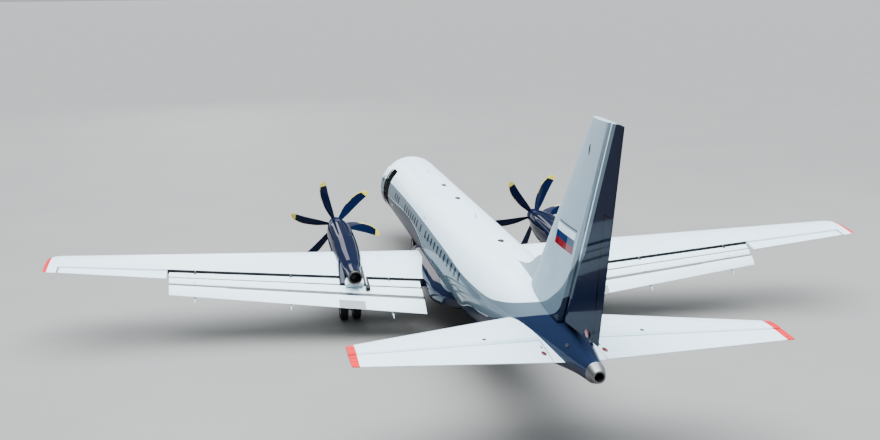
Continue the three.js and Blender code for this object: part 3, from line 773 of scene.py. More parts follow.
def rudder_paint():
    """Navy behind a white and a grey strip that run up its front edge, with the seams of its tab."""
    made, tree, shader = gloss_paint("polyurethane_rudder_livery", *DARK_GLOSS)
    station, z = axes(tree)[1:]
    behind = past_hinge(tree, station, z)
    high = step(tree, z, 5.78, 0.3)
    # the strip is 0.1 wide low down and 0.2 higher up
    edge = add(tree, "ShaderNodeMath", (high, 0.1, 0.1), operation="MULTIPLY_ADD").outputs[0]
    # low on the rudder's front strip: navy below the foot, and dark grey painted shade above it
    low_front = paint_over(tree, step(tree, z, SHADE_FOOT), NAVY, SHADE_PATCH_GREY)
    high_front = paint_over(tree, step(tree, behind, 0.03), WHITE, BAND_GREY)
    front = paint_over(tree, high, low_front, high_front)
    colour = paint_over(tree, step(tree, behind, edge), front, NAVY)
    hinge = add(tree, "ShaderNodeMath", (z, TAB_LEAN, TAB_FOOT), operation="MULTIPLY_ADD").outputs[0]
    behind_tab = add(tree, "ShaderNodeMath", (station, hinge), operation="SUBTRACT").outputs[0]
    from_hinge = add(tree, "ShaderNodeMath", (behind_tab,), operation="ABSOLUTE").outputs[0]
    above_tab = add(tree, "ShaderNodeMath", (z, TAB_TOP), operation="SUBTRACT").outputs[0]
    from_top = add(tree, "ShaderNodeMath", (above_tab,), operation="ABSOLUTE").outputs[0]
    upright = both(tree, below(tree, from_hinge, 0.035), below(tree, z, TAB_TOP))
    level = both(tree, step(tree, behind_tab, 0.0), below(tree, from_top, 0.02))
    seams = add(tree, "ShaderNodeMath", (upright, level), operation="MAXIMUM").outputs[0]
    colour = paint_over(tree, seams, colour, SEAM_DARK)
    paint_surface(tree, shader, colour, station, z, (3000, 1300), 0.08)
    return made


def tip_paint(name, edge):
    """White with a red cap outboard of an edge."""
    made, tree, shader = gloss_paint(name)
    x, station = axes(tree)[:2]
    outboard = add(tree, "ShaderNodeMath", (x,), operation="ABSOLUTE").outputs[0]
    colour = paint_over(tree, step(tree, outboard, edge), WHITE, RED)
    paint_surface(tree, shader, colour, x, station, (1300, 700), 0.03)
    return made


def plain_paint(name, colour, panel, wear, upright=False, gloss=(0.1, 0.5)):
    """Sprayed gloss paint of one colour on sheet."""
    made, tree, shader = gloss_paint(name, *gloss)
    x, station, z = axes(tree)
    along, across = (station, z) if upright else (x, station)
    paint_surface(tree, shader, colour, along, across, panel, wear)
    return made


def mottled(tree, shader, size_mm, detail, dark, light):
    """Uneven tone between two colours, in patches of a size. Returns how light each place is."""
    place = add(tree, "ShaderNodeTexCoord").outputs["Object"]
    noise = add(tree, "ShaderNodeTexNoise", {"Vector": place, "Scale": 1000 / size_mm, "Detail": detail})
    tint = add(tree, "ShaderNodeValToRGB", {"Fac": noise.outputs[0]})
    tint.color_ramp.elements[0].color = dark
    tint.color_ramp.elements[1].color = light
    connect(tree, shader, {"Base Color": tint.outputs[0]})
    return noise.outputs[0]


def darkened(colour, share):
    """A colour with only a share of its light."""
    return tuple(share * part for part in colour[:3]) + (1,)


# The grain of rolled metal and the grit of rubber are well under a millimetre. They are drawn some
# centimetres wide, as patches of tone and gloss, because nothing finer shows on an aircraft this large.


def metal(name, colour, roughness, grain_mm=16.667, spread=0.1):
    """Bare metal: reflections with a faint grain that breaks them up."""
    made, tree, shader = material(name, {"Metallic": 1.0})
    grain = mottled(tree, shader, grain_mm, 4.0, darkened(colour, 0.75), colour)
    rough = add(tree, "ShaderNodeMapRange", {
        "Value": grain, "To Min": roughness - spread, "To Max": roughness + spread,
    })
    connect(tree, shader, {"Roughness": rough.outputs[0]})
    return made


def rough_surface(name, colour, roughness, grit_mm=25, depth=0.002, contrast=0.3):
    """A dull surface such as rubber or cast metal: fine bumps and uneven tone."""
    made, tree, shader = material(name, {"Roughness": roughness})
    grit = mottled(tree, shader, grit_mm, 6.0, darkened(colour, 1 - contrast), colour)
    bump = add(tree, "ShaderNodeBump", {"Height": grit, "Strength": 0.5, "Distance": depth})
    connect(tree, shader, {"Normal": bump.outputs[0]})
    return made


def window_glass():
    """Stretched acrylic seen from outside: nearly black, with a thin clear reflection. Its tone
    changes over a third of a metre, as what stands in the cabin does."""
    made, tree, shader = material("acrylic_cabin_glass", {
        "IOR": 1.49, "Roughness": 0.06, "Specular IOR Level": 0.0, "Coat Weight": 0.2,
    })
    mottled(tree, shader, 333.3, 2.0, linear("#12171C"), linear("#28323A"))
    return made


# Polished two-pack paint in the livery's colours: mirrors the studio softly along every curve
FUSELAGE_PAINT = fuselage_paint()
FAIRING_PAINT = fairing_paint()
FIN_PAINT = fin_paint()
RUDDER_PAINT = rudder_paint()
WING_TIP_PAINT = tip_paint("polyurethane_wing_tip", 14.87)
TAIL_TIP_PAINT = tip_paint("polyurethane_tail_tip", 5.5)
WING_PAINT = plain_paint("polyurethane_white_wing", WHITE, (1300, 700), 0.03)
NAVY_PAINT = plain_paint("polyurethane_navy", NAVY, (900, 600), 0.1, upright=True, gloss=NAVY_GLOSS)
GREY_PAINT = plain_paint("polyurethane_band_grey", BAND_GREY, (1100, 600), 0.06, upright=True)
RED_PAINT = plain_paint("polyurethane_red", RED, (2000, 2000), 0.06)
# Paint on composite blades: no seams, dulled by grit, with bright warning tips
BLADE_PAINT = plain_paint("polyurethane_navy_blade", linear("#0B1636"), NO_SEAMS, 0.15, True, DARK_GLOSS)
YELLOW_PAINT = plain_paint("polyurethane_yellow", linear("#E0CE48"), NO_SEAMS, 0.1)
# Dark grey enamel on small tail fittings; on the noses of the rear flap strips it is painted shade in the
# slots
SLOT_SHADE_AND_FITTING_GREY = plain_paint("slot_shade_and_fitting_grey", linear("#3A4248"), (800, 9000), 0.2)
# Enamel on forged legs and wheels: pale grey and a little soiled
GEAR_ENAMEL = plain_paint("gear_enamel_grey", linear("#C9CED1"), NO_SEAMS, 0.25, upright=True)
# Bare sheet and castings: grey reflections, sharper where a surface was machined or plated
ALUMINIUM = metal("bare_aluminium", linear("#C4C6C6"), 0.3)
CONE_METAL = metal("brushed_cone_aluminium", linear("#7A7B7D"), 0.42, grain_mm=55.56)
EXHAUST_STEEL = metal("heat_tinted_steel", linear("#6B6966"), 0.42, grain_mm=40)
CHROME = metal("hard_chrome", linear("#E2E4E6"), 0.12, spread=0.05)
LAMP_GLASS = metal("silvered_lamp_bowl", linear("#E8ECEE"), 0.12, spread=0.05)
ENGINE_METAL = rough_surface("cast_engine_metal", linear("#54565A"), 0.55, grit_mm=33.33)
# Sheet that the exhaust has dulled: flat, in broad patches
DULL_SHEET = rough_surface("exhaust_dulled_sheet", linear("#8F9598"), 0.5, grit_mm=83.33, depth=0.0005,
                           contrast=0.2)
# Rubber: soft black without a highlight
TYRE = rough_surface("vulcanised_rubber", linear("#1A1A1C"), 0.8, grit_mm=16.667)
# The same black on the wing's back face over the flaps is painted shade in the slot
SEAL_AND_SLOT_SHADE = rough_surface("black_seal_rubber_and_slot_shade", linear("#0C0D0F"), 0.7)
# Near black: soot inside pipes and the exhaust bore, and painted shade inside the intakes and the doorway
SOOT_AND_SHADE_INSIDE = rough_surface("soot_and_painted_shade_inside", linear("#0A0A0B"), 0.9)
# Woven lining and primed bay walls: warm grey and matt
LINING = rough_surface("cabin_lining", linear("#B9B4A8"), 0.7, grit_mm=12.5, depth=0.001, contrast=0.1)
GLASS = window_glass()
# Coloured lamp covers: unlit, so dark and saturated under a sharp highlight
RED_GLASS = plain_paint("ruby_lamp_glass", linear("#5E0A16"), NO_SEAMS, 0.2, gloss=LAMP_GLOSS)
GREEN_GLASS = plain_paint("green_lamp_glass", linear("#5E7A3A"), NO_SEAMS, 0.2, gloss=LAMP_GLOSS)


# Camera, floor and light


def camera():
    """The photograph's viewpoint, solved for a picture 880 pixels wide."""
    place = Vector((8.110, 33.247, 12.187))
    # angles in degrees, focal length and shift in pixels, and the sensor's width in mm
    yaw, pitch, roll = (math.radians(angle) for angle in (-7.865, 14.574, -0.591))
    focal, width, sensor = 958.3, 880, 36.0
    shift = (67.56, 13.63)
    forward = Vector((math.sin(yaw) * math.cos(pitch), -math.cos(yaw) * math.cos(pitch), -math.sin(pitch)))
    right = forward.cross(Vector((0, 0, 1))).normalized()
    up = right.cross(forward)
    rolled = right * math.cos(roll) + up * math.sin(roll)
    upper = up * math.cos(roll) - right * math.sin(roll)
    lens = bpy.data.cameras.new("camera")
    lens.sensor_width = sensor
    lens.lens = sensor * focal / width
    lens.shift_x, lens.shift_y = shift[0] / width, shift[1] / width
    lens.clip_end = 3000
    made = bpy.data.objects.new("camera", lens)
    turn = Matrix((rolled, upper, -forward)).transposed().to_4x4()
    made.matrix_world = Matrix.Translation(place) @ turn
    bpy.context.scene.collection.objects.link(made)
    bpy.context.scene.camera = made


def floor():
    """A plain pale floor that rises into a wall far away."""
    bm = bmesh.new()
    reach = 900
    bmesh.ops.create_grid(bm, x_segments=2, y_segments=2, size=reach)
    far = [edge for edge in bm.edges if all(vert.co.y < 1 - reach for vert in edge.verts)]
    risen = bmesh.ops.extrude_edge_only(bm, edges=far)["geom"]
    rim = [item for item in risen if isinstance(item, bmesh.types.BMVert)]
    bmesh.ops.translate(bm, verts=rim, vec=(0, -60, 90))
    mesh = bpy.data.meshes.new("floor")
    bm.to_mesh(mesh)
    bm.free()
    made, tree, shader = material("pale_floor", {"Roughness": 0.7})
    mottled(tree, shader, 5000, 4.0, linear("#777573"), linear("#7F7D7A"))
    mesh.materials.append(made)
    ground = bpy.data.objects.new("floor", mesh)
    bpy.context.scene.collection.objects.link(ground)


def lights():
    """A pale studio: a wide soft sun over all, and three softboxes aimed at the aircraft."""
    world = bpy.data.worlds.new("studio")
    world.use_nodes = True
    world.node_tree.nodes["Background"].inputs[0].default_value = linear("#DDE6EE")
    world.node_tree.nodes["Background"].inputs[1].default_value = 0.3
    bpy.context.scene.world = world
    overhead = bpy.data.lights.new("overhead_diffuser", "SUN")
    overhead.angle = math.radians(80)
    overhead.energy = 12.0
    overhead.color = linear("#F1F9FF")[:3]
    made = bpy.data.objects.new(overhead.name, overhead)
    bpy.context.scene.collection.objects.link(made)
    # place, size, watts
    for number, (place, size, power) in enumerate([
        ((6, 10, 30), (20, 26), 9000),
        ((-30, -8, 18), (16, 16), 2000),
        ((10, -63, 27), (16, 36), 7500),
    ]):
        lamp = bpy.data.lights.new(f"softbox_{number}", "AREA")
        lamp.shape = "RECTANGLE"
        lamp.size, lamp.size_y = size
        lamp.energy = power
        made = bpy.data.objects.new(lamp.name, lamp)
        aim = Vector((0, 0, 2)) - Vector(place)
        made.matrix_world = Matrix.Translation(place) @ aimed(-aim)
        bpy.context.scene.collection.objects.link(made)


# Fuselage


def fuselage_skins():
    """One smooth skin for each length of the fuselage."""
    made = {}
    ring_step, gap = 0.12, 0.0015
    for name, start, end in FUSELAGE_PARTS:
        first, last = start + (gap if start else 0), end - gap
        bm = bmesh.new()
        steps = max(4, round((end - start) / ring_step))
        # rings crowd together at the tip of the nose
        crowding = 1 if start else 1.6
        skin(bm, 96, steps, lambda turn, run: fuselage_point(mix(first, last, run**crowding), turn))
        finishes, slot = [FUSELAGE_PAINT, LINING, SOOT_AND_SHADE_INSIDE], "white_paint"
        if name == "tail_cone":
            slot = "navy_paint"
        if name == "auxiliary_exhaust":
            bm.clear()
            skin(bm, 72, 8, lambda turn, run: fuselage_point(mix(first, CONE_FROM - gap, run), turn),
                 finish=2)
            skin(bm, 72, 10, lambda turn, run: hull_point(CONE_ROWS, 0, 2, mix(CONE_FROM, last, run), turn))
            finishes, slot = [CONE_METAL, SOOT_AND_SHADE_INSIDE, FUSELAGE_PAINT], "bare_metal"
        made[name] = piece(f"skin_{name}", bm, finishes, replaces=[name], slot=slot)
    # the doorway's walls are near black: painted shade inside the opening
    doorway = bmesh.new()
    block(doorway, at(FUSELAGE_RADIUS, DOOR_STATION, DOOR_MIDDLE), (1.8, 0.9, 1.7), edge=0.1)
    cut(made["forward_fuselage"], doorway, 2)
    bay = bmesh.new()
    block(bay, at(0, NOSE_BAY_STATION, 1.28), (0.56, 1.7, 0.6), edge=0)
    cut(made["forward_fuselage"], bay, 1)
    bore = bmesh.new()
    rod(bore, at(0, 26.63, 3.2), at(0, 27.3, 3.2), 0.12, 48)
    cut(made["auxiliary_exhaust"], bore, 1)


def window_rows():
    """Stations of the cabin windows, the same on both sides."""
    near = [6.06 + 0.44 * number for number in range(3)]
    middle = [8.46 + 0.457 * number for number in range(7)]
    aft = [12.93 + 0.549 * number for number in range(11)]
    return near + middle + [EXIT_STATION] + aft


def surface_window(bm, centre, half_width, half_height, place):
    """A rounded pane with a raised rim, bent to the surface that place(across, up) gives."""
    rim, proud, roundness = 0.014, 0.006, 0.45
    old = set(bm.faces)

    def point(turn, run):
        u, v = turn * 2 - 1, run * 2 - 1
        a = mix(u, u * math.sqrt(1 - v * v / 2), roundness)
        b = mix(v, v * math.sqrt(1 - u * u / 2), roundness)
        return place(centre + a * half_width, b * half_height)

    skin(bm, 4, 6, point, closed=False)
    faces = [face for face in bm.faces if face not in old]
    ring = bmesh.ops.inset_region(bm, faces=faces, thickness=rim, use_even_offset=True)["faces"]
    for face in ring:
        face.material_index = 1
    lifted = bmesh.ops.extrude_face_region(bm, geom=ring)["geom"]
    for item in lifted:
        if isinstance(item, bmesh.types.BMVert):
            item.co += fuselage_out(item.co) * proud
    bmesh.ops.delete(bm, geom=ring, context="FACES")


def cabin_windows():
    """The cabin's dark panes in grey rims, along both sides."""
    for hand, side in SIDES.items():
        bm = bmesh.new()
        for station in window_rows():
            surface_window(bm, station, 0.105, 0.145,
                           lambda across, up: wall_point(side, across, WINDOW_HEIGHT + up, 0.003))
        for face in bm.faces:
            face.normal_update()
        piece(f"cabin_windows_{hand}", bm, [GLASS, GREY_PAINT], slot="navy_paint", crease=25)


def entry_door():
    """The cabin door on its two arms, ahead of its doorway: skin, lining, window, handle and seal."""
    bm = bmesh.new()
    shift = Vector((0.07, -0.93, 0))
    low, high, first, last = 2.12, 3.78, 3.32, 4.18

    def shell(u, v, out):
        return wall_point(1, mix(first, last, u), mix(low, high, v), out) + shift

    plate(bm, 10, 24, lambda u, v: shell(u, v, 0.0), 0.014)
    plate(bm, 10, 24, lambda u, v: shell(mix(0.03, 0.97, u), mix(0.02, 0.98, v), -0.016), 0.022, finish=1)
    for u in (0.0, 1.0):
        line = [shell(u, number / 24, -0.012) for number in range(25)]
        for a, b in zip(line, line[1:]):
            rod(bm, a, b, 0.011, 10, finish=2)
    handle = shell(0.25, 0.45, -0.042)
    rod(bm, handle, handle + Vector((-0.03, 0.2, 0)), 0.012, 16, finish=3)
    for z in (2.5, 3.35):
        inner = wall_point(1, 3.35, z)
        elbow = Vector((inner.x + 0.048, inner.y, z))
        hinge = elbow - Vector((0, 0.08, 0))
        rod(bm, Vector((inner.x - 0.04, inner.y, z)), elbow, 0.02, 20, finish=2)
        rod(bm, elbow, hinge, 0.02, 20, finish=2)
    old = set(bm.faces)
    surface_window(bm, DOOR_STATION, 0.1, 0.14,
                   lambda across, up: wall_point(1, across, 3.25 + up, 0.006) + shift)
    for face in bm.faces:
        if face not in old:
            face.material_index = 4
    piece("entry_door", bm, [FUSELAGE_PAINT, LINING, SEAL_AND_SLOT_SHADE, ALUMINIUM, GLASS], replaces=["passenger_door"],
          slot="white_paint")


# Windscreen panes: station and turn from the top, corner by corner
PANES = [
    [(1.03, 0.010), (1.60, 0.010), (1.70, 0.080), (1.10, 0.090)],
    [(1.14, 0.098), (1.74, 0.088), (1.96, 0.135), (1.36, 0.155)],
    [(1.44, 0.164), (2.00, 0.144), (2.34, 0.163), (2.00, 0.190)],
]


def pane_point(side, corners, u, v, out):
    """A point of a windscreen pane, at shares of its width and height."""
    low = [mix(a, b, u) for a, b in zip(corners[0], corners[3])]
    high = [mix(a, b, u) for a, b in zip(corners[1], corners[2])]
    station, turn = (mix(a, b, v) for a, b in zip(low, high))
    return fuselage_point(station, 0.25 - side * turn, out)


def cockpit():
    """Heated windscreen panes in black frames, wipers, and the probes on the nose."""
    bm = bmesh.new()
    grown = 0.035
    for side in SIDES.values():
        for corners in PANES:
            plate(bm, 10, 10, lambda u, v: pane_point(side, corners, mix(-grown, 1 + grown, u),
                                                      mix(-grown, 1 + grown, v), 0.004), 0.006, finish=1)
            plate(bm, 10, 10, lambda u, v: pane_point(side, corners, mix(0.05, 0.95, u),
                                                      mix(0.06, 0.94, v), 0.012), 0.004)
        foot = pane_point(side, PANES[0], 0.55, -0.06, 0.03)
        head = pane_point(side, PANES[0], 0.16, 0.72, 0.035)
        rod(bm, foot, head, 0.009, 12, finish=1)
        rod(bm, pane_point(side, PANES[0], 0.13, 0.2, 0.026), pane_point(side, PANES[0], 0.16, 0.95, 0.026),
            0.011, 12, finish=1)
        # pitot probe low on the nose, and a flow vane on its round base behind it
        probe = wall_point(side, 0.62, 2.22)
        mast = probe + fuselage_out(probe) * 0.09
        rod(bm, probe, mast, 0.014, 16, finish=2)
        rod(bm, mast + Vector((0, 0.05, 0)), mast - Vector((0, 0.16, 0)), 0.011, 16, 0.008, finish=2)
        vane = wall_point(side, 1.9, 2.55)
        rod(bm, vane, vane + fuselage_out(vane) * 0.015, 0.05, 24, finish=2)
        rod(bm, vane, vane + fuselage_out(vane) * 0.07 + Vector((0, 0.05, 0)), 0.009, 12, finish=2)
    piece("cockpit_windows", bm, [GLASS, SEAL_AND_SLOT_SHADE, ALUMINIUM], slot="navy_paint")


def outline(bm, side, middle, half_long, half_high, corner=0.14):
    """The seam round a door or hatch in the fuselage's side."""
    station, z = middle
    points = []
    for a, b, start in ((1, 1, 0), (-1, 1, 1), (-1, -1, 2), (1, -1, 3)):
        for number in range(7):
            angle = (start + number / 6) * math.pi / 2
            points.append(wall_point(side, station + a * (half_long - corner) + math.cos(angle) * corner,
                                     z + b * (half_high - corner) + math.sin(angle) * corner, 0.003))
    ends = points + points[:1]
    line = []
    for a, b in zip(ends, ends[1:]):
        steps = max(1, round((b - a).length / 0.12))
        for number in range(steps):
            share = number / steps
            flat = a.lerp(b, share)
            line.append(wall_point(side, flat.y + NOSE, flat.z, 0.003))
    ribbon(bm, line + line[:1], 0.014, fuselage_out)


def hatches():
    """Door, hatch and bay seams, with a handle by the door, and small vents and drains."""
    bm = bmesh.new()
    for side in SIDES.values():
        if side < 0:
            outline(bm, side, (DOOR_STATION, DOOR_MIDDLE), 0.42, 0.82)
            spot = wall_point(side, 3.5, 2.85, 0.004)
            rod(bm, spot - Vector((0, 0.07, 0)), spot + Vector((0, 0.07, 0)), 0.012, 16, finish=1)
        outline(bm, side, (EXIT_STATION, WINDOW_HEIGHT), 0.27, 0.42)
        outline(bm, side, (6.0, 2.02), 0.55, 0.28, corner=0.05)
        # vents over and ahead of the windows, and two drains
        for station, z in ((5.65, 3.64), (11.98, 3.46), (5.2, 2.5), (5.35, 2.5)):
            spot = wall_point(side, station, z)
            rod(bm, spot - fuselage_out(spot) * 0.01, spot + fuselage_out(spot) * 0.006, 0.035, 24, finish=1)
    piece("hatch_seams", bm, [SEAL_AND_SLOT_SHADE, ALUMINIUM], slot="bare_metal")


def antenna(bm, station, length, height, up=1, finish=0):
    """A swept blade antenna on the top or belly line."""
    centre, _, top, down = curve_row(FUSELAGE_TABLE, station)
    foot = centre + up * (top if up > 0 else down) - up * 0.02

    def place(turn, run):
        s, across = around_section((0, 0), (length * mix(1, 0.55, run), 0), 0.1, turn, 1)
        return at(across, station + s + run * length * 0.45, foot + up * run * height)

    skin(bm, 24, 8, place, finish=finish)


def antennas():
    """Aerials on the back and belly, the dark pads of flat aerials, and the red beacon below."""
    bm = bmesh.new()
    # station and x of each pad, then its rows: station, half width and half height
    for station, x in ((9.25, -0.1), (11.77, -0.1), (18.21, -0.05)):
        pad = [(station - 0.17, 0.03, 0.01), (station, 0.11, 0.05), (station + 0.2, 0.02, 0.008)]
        centre, _, top, _ = curve_row(FUSELAGE_TABLE, station)
        rows = [(s, x, centre + top - 0.004, wide, high) for s, wide, high in pad]
        boom(bm, rows, finish=1)
    # station, length and height of each blade aerial
    for station, length, height in ((6.4, 0.24, 0.2), (14.9, 0.28, 0.22)):
        antenna(bm, station, length, height)
    for station, length, height in ((5.9, 0.26, 0.2), (7.2, 0.3, 0.24), (8.6, 0.26, 0.22), (18.6, 0.3, 0.2)):
        antenna(bm, station, length, height, up=-1, finish=1)
    # turned profiles hold (along the axis, radius)
    beacon = [(-0.02, 0.06), (0.015, 0.06), (0.02, 0.048), (0.06, 0.042), (0.085, 0.022), (0.09, 0.0)]
    station = 9.1
    centre, _, _, down = curve_row(FUSELAGE_TABLE, station)
    turned(bm, beacon, at(0, station, centre - down), (0, 0, -1), 32, finish=2)
    piece("antennas", bm, [WING_PAINT, SEAL_AND_SLOT_SHADE, RED_PAINT], slot="white_paint")


# Wings


def wings():
    """Each wing up to its flaps, with its tip cap, aileron and flaps."""
    for hand, side in SIDES.items():
        bm = bmesh.new()
        span_skin(bm, side, 72, 60, 1.45, TIP_FROM - 0.001,
                  lambda x, turn: around_section(*wing_at(x), turn, BOX_END))
        bmesh.ops.recalc_face_normals(bm, faces=bm.faces)
        # the wing's back face over the flaps gets the seal's black: painted shade in the slot
        for face in bm.faces:
            if face.normal.y > 0.85 and abs(face.calc_center_median().x) < FLAP_TO + 0.1:
                face.material_index = 2
        rod(bm, at(side * 5.2, 12.9, 1.87), at(side * 5.2, 12.9, 2.05), 0.07, 24, finish=1)
        piece(f"wing_skin_{hand}", bm, [WING_PAINT, ALUMINIUM, SEAL_AND_SLOT_SHADE], replaces=[f"wing_{hand}"])

        bm = bmesh.new()
        # share of the tip, and how far its front edge is drawn in there
        tip_rows = [(0.0, 0.0), (0.35, 0.01), (0.7, 0.04), (0.9, 0.1), (1.0, 0.16)]

        def tip_place(turn, run):
            x = mix(TIP_FROM, HALF_SPAN, run)
            front, back, thickness = wing_at(x)
            pull = curve_row(tip_rows, run)[0]
            end = wing_at(HALF_SPAN)[1]
            start_edge = (mix(front[0], end[0], pull), mix(front[1], end[1], pull))
            station, z = around_section(start_edge, back, thickness * (1 - pull * 2), turn, 1)
            return at(side * x, station, z)

        skin(bm, 72, 12, tip_place)
        piece(f"wing_tip_cap_{hand}", bm, [WING_TIP_PAINT], replaces=[f"wing_tip_{hand}"])

        bm = bmesh.new()

        def aileron_section(x, turn):
            front, back, thickness = wing_at(x)
            hinge = (mix(front[0], back[0], HINGE_SHARE), mix(front[1], back[1], HINGE_SHARE))
            radius = half_thickness(HINGE_SHARE, thickness) * (back[0] - front[0])
            return around_control(hinge, back, radius, turn)

        span_skin(bm, side, 50, 24, AILERON_FROM, AILERON_TO, aileron_section)
        piece(f"aileron_skin_{hand}", bm, [WING_PAINT], body=f"aileron_{hand}", replaces=[f"aileron_{hand}"])
        flaps(hand, side)


def flaps(hand, side):
    """The three strips of a flap. The noses of the two behind are dark grey: painted shade in the slots."""
    for name, (start, end, thickness) in FLAP_STRIPS.items():
        bm = bmesh.new()
        span_skin(bm, side, 48, 40, FLAP_FROM, FLAP_TO, lambda x, turn: around_section(
            flap_point(x, start), flap_point(x, end), thickness, turn, 1))
        nose = 0.0 if name == "vane" else 0.22
        for face in bm.faces:
            middle = face.calc_center_median()
            x = min(max(abs(middle.x), FLAP_FROM), FLAP_TO)
            front, back = flap_point(x, start), flap_point(x, end)
            if middle.y + NOSE < mix(front[0], back[0], nose) and abs(face.normal.x) < 0.9:
                face.material_index = 1
        if name == "main":
            for x in TRACK_PLACES:
                track_fairing(bm, side, x)
        piece(f"flap_{name}_skin_{hand}", bm, [WING_PAINT, SLOT_SHADE_AND_FITTING_GREY], replaces=[f"flap_{name}_{hand}"])
    flap_fittings(hand, side)


def flap_top(side, x, strip, share, out=0.0):
    """A point on the top of a flap strip."""
    start, end, thickness = FLAP_STRIPS[strip]
    station, z = section_point(flap_point(x, start), flap_point(x, end), thickness, share, 1)
    return at(side * x, station + out * 0.4, z + out * 0.9)


def flap_fittings(hand, side):
    """What shows in the slots: track brackets, end plates and the sheet that the exhaust has dulled."""
    bm = bmesh.new()
    for x in (9.89, 6.53, 3.0):
        point = flap_top(side, x, "vane", 0.02, 0.02)
        block(bm, point, (0.10, 0.10, 0.06), finish=0, edge=0.012)
        rod(bm, point + Vector((0, -0.16, 0.05)), point + Vector((0, 0.05, 0)), 0.016, 16, finish=1)
    for strip, share, size in (("vane", 0.1, (0.03, 0.16, 0.12)), ("main", 0.06, (0.03, 0.12, 0.09)),
                               ("aft", 0.05, (0.03, 0.12, 0.07))):
        point = flap_top(side, FLAP_FROM, strip, share, -0.02)
        block(bm, point - Vector((side * 0.02, 0, 0)), size, finish=0, edge=0.008)
    piece(f"flap_brackets_{hand}", bm, [SEAL_AND_SLOT_SHADE, ALUMINIUM], slot="bare_metal")
    bm = bmesh.new()

    def sheet(turn, run):
        return flap_top(side, mix(4.0, 4.92, turn), "aft", mix(0.52, 0.985, run), 0.003)

    plate(bm, 8, 8, sheet)
    piece(f"flap_heat_sheet_{hand}", bm, [DULL_SHEET], slot="bare_metal")


def track_fairing(bm, side, x):
    """A slim boat-shaped fairing under the flap, with its carrying web."""
    front, back = flap_point(x, 0.02), flap_point(x, 1.1)
    # share along, half width, half height
    rows = [(0, 0.004, 0.005), (0.2, 0.052, 0.07), (0.55, 0.062, 0.092), (0.85, 0.036, 0.056),
            (1, 0.003, 0.004)]

    def place(turn, run):
        wide, high = curve_row(rows, run)
        station, z = mix(front[0], back[0], run), mix(front[1], back[1], run) - 0.19 + run * 0.06
        angle = turn * math.tau
        return at(side * x + math.cos(angle) * wide, station, z + 0.012 + math.sin(angle) * high)

    skin(bm, 24, 30, place)
    middle = flap_point(x, 0.43)
    block(bm, at(side * x, middle[0], middle[1] - 0.083), (0.06, 0.15, 0.17))


def fairing():
    """The belly fairing that takes the wing through, and the seams where it fades into the hull."""
    bm = bmesh.new()
    hull_skin(bm, FAIRING_ROWS, 80, 60, squareness=2.6)
    piece("root_fairing_skin", bm, [FAIRING_PAINT], replaces=["wing_root_fairing"], slot="navy_paint")
    # seams where the fairing's skin fades into the hull: (station, height)
    arcs = [
        [(15.51, 2.17), (16.1, 2.42), (16.63, 2.55), (17.67, 2.69)],
        [(17.2, 2.43), (17.7, 2.62), (18.29, 2.73), (19.07, 2.76)],
        [(18.18, 2.44), (18.45, 2.56), (18.76, 2.64), (19.42, 2.67)],
        [(18.91, 2.33), (19.3, 2.51), (19.75, 2.61), (20.51, 2.65)],
    ]
    bm = bmesh.new()
    for side in SIDES.values():
        for arc in arcs:
            line = [wall_point(side, station, z, 0.004) for station, z in smooth_line(arc, 24)]
            ribbon(bm, line, 0.028, fuselage_out)
    piece("fairing_seams", bm, [SEAL_AND_SLOT_SHADE], slot="navy_paint", outward=False)


# Tail


def tail():
    """Tailplanes, elevators, the fin with its fillet, and the rudder."""
    for hand, side in SIDES.items():
        bm = bmesh.new()

        def root_section(x, turn):
            front, _, back, thickness = tail_at(x)
            return around_section(front, back, thickness, turn, 1)

        span_skin(bm, side, 64, 40, 0.45, TAIL_HALF_SPAN,
                  lambda x, turn: fixed_section(*tail_at(x), turn, 0.025))
        span_skin(bm, side, 64, 6, 0.3, TAIL_ROOT_TO, root_section)
        piece(f"tailplane_skin_{hand}", bm, [TAIL_TIP_PAINT], replaces=[f"tailplane_{hand}"])

        bm = bmesh.new()
        span_skin(bm, side, 50, 30, ELEVATOR_FROM, TAIL_HALF_SPAN,
                  lambda x, turn: moving_section(*tail_at(x), turn))
        piece(f"elevator_skin_{hand}", bm, [TAIL_TIP_PAINT], body=f"elevator_{hand}",
              replaces=[f"elevator_{hand}"])

    bm = bmesh.new()

    def fin_place(turn, run):
        z = mix(3.62, FIN_TOP, run)
        station, x = fixed_section(*fin_at(z), turn, 0.03)
        return at(x, station, z)

    skin(bm, 64, 50, fin_place)
    # dorsal fillet: station, half width at the foot, height of its ridge
    fillet = [(19.9, 0.02, 4.05), (21.3, 0.06, 4.33), (22.7, 0.11, 4.96), (23.4, 0.12, 5.00)]
    first, last = fillet[0][0], fillet[-1][0]

    def fillet_place(turn, run):
        station = mix(first, last, run)
        half, ridge = curve_row(fillet, station)
        across = math.cos(turn * math.pi)
        rise = max(0.0, 1 - abs(across)) ** 0.45
        return at(half * across, station, mix(3.7, ridge, rise))

    skin(bm, 24, 30, fillet_place, closed=False)
    piece("fin_skin", bm, [FIN_PAINT], replaces=["fin"])

    bm = bmesh.new()

    def rudder_place(turn, run):
        z = mix(RUDDER_FOOT, FIN_TOP, run)
        station, x = moving_section(*fin_at(z), turn)
        return at(x, station, z)

    skin(bm, 50, 40, rudder_place)
    piece("rudder_skin", bm, [RUDDER_PAINT], body="rudder", replaces=["rudder"], slot="navy_paint")


def on_sheet(bm, point, out, long, wide, high, finish, way=Vector((0, 1, 0))):
    """A low oval boss that lies on a surface, long along way."""
    across = way.cross(out).normalized()
    along = out.cross(across).normalized()
    place = Matrix.Translation(point) @ Matrix((across, along, out)).transposed().to_4x4()
    made = bmesh.ops.create_uvsphere(bm, u_segments=24, v_segments=10, radius=1,
                                     matrix=place @ Matrix.Diagonal((wide, long, high, 1)))["verts"]
    finish_faces(made, finish)


def wick(bm, root, rise, finish=0):
    """A static wick that trails from a back edge."""
    rod(bm, root, root + Vector((0, WICK, rise)), 0.004, 8, finish=finish)


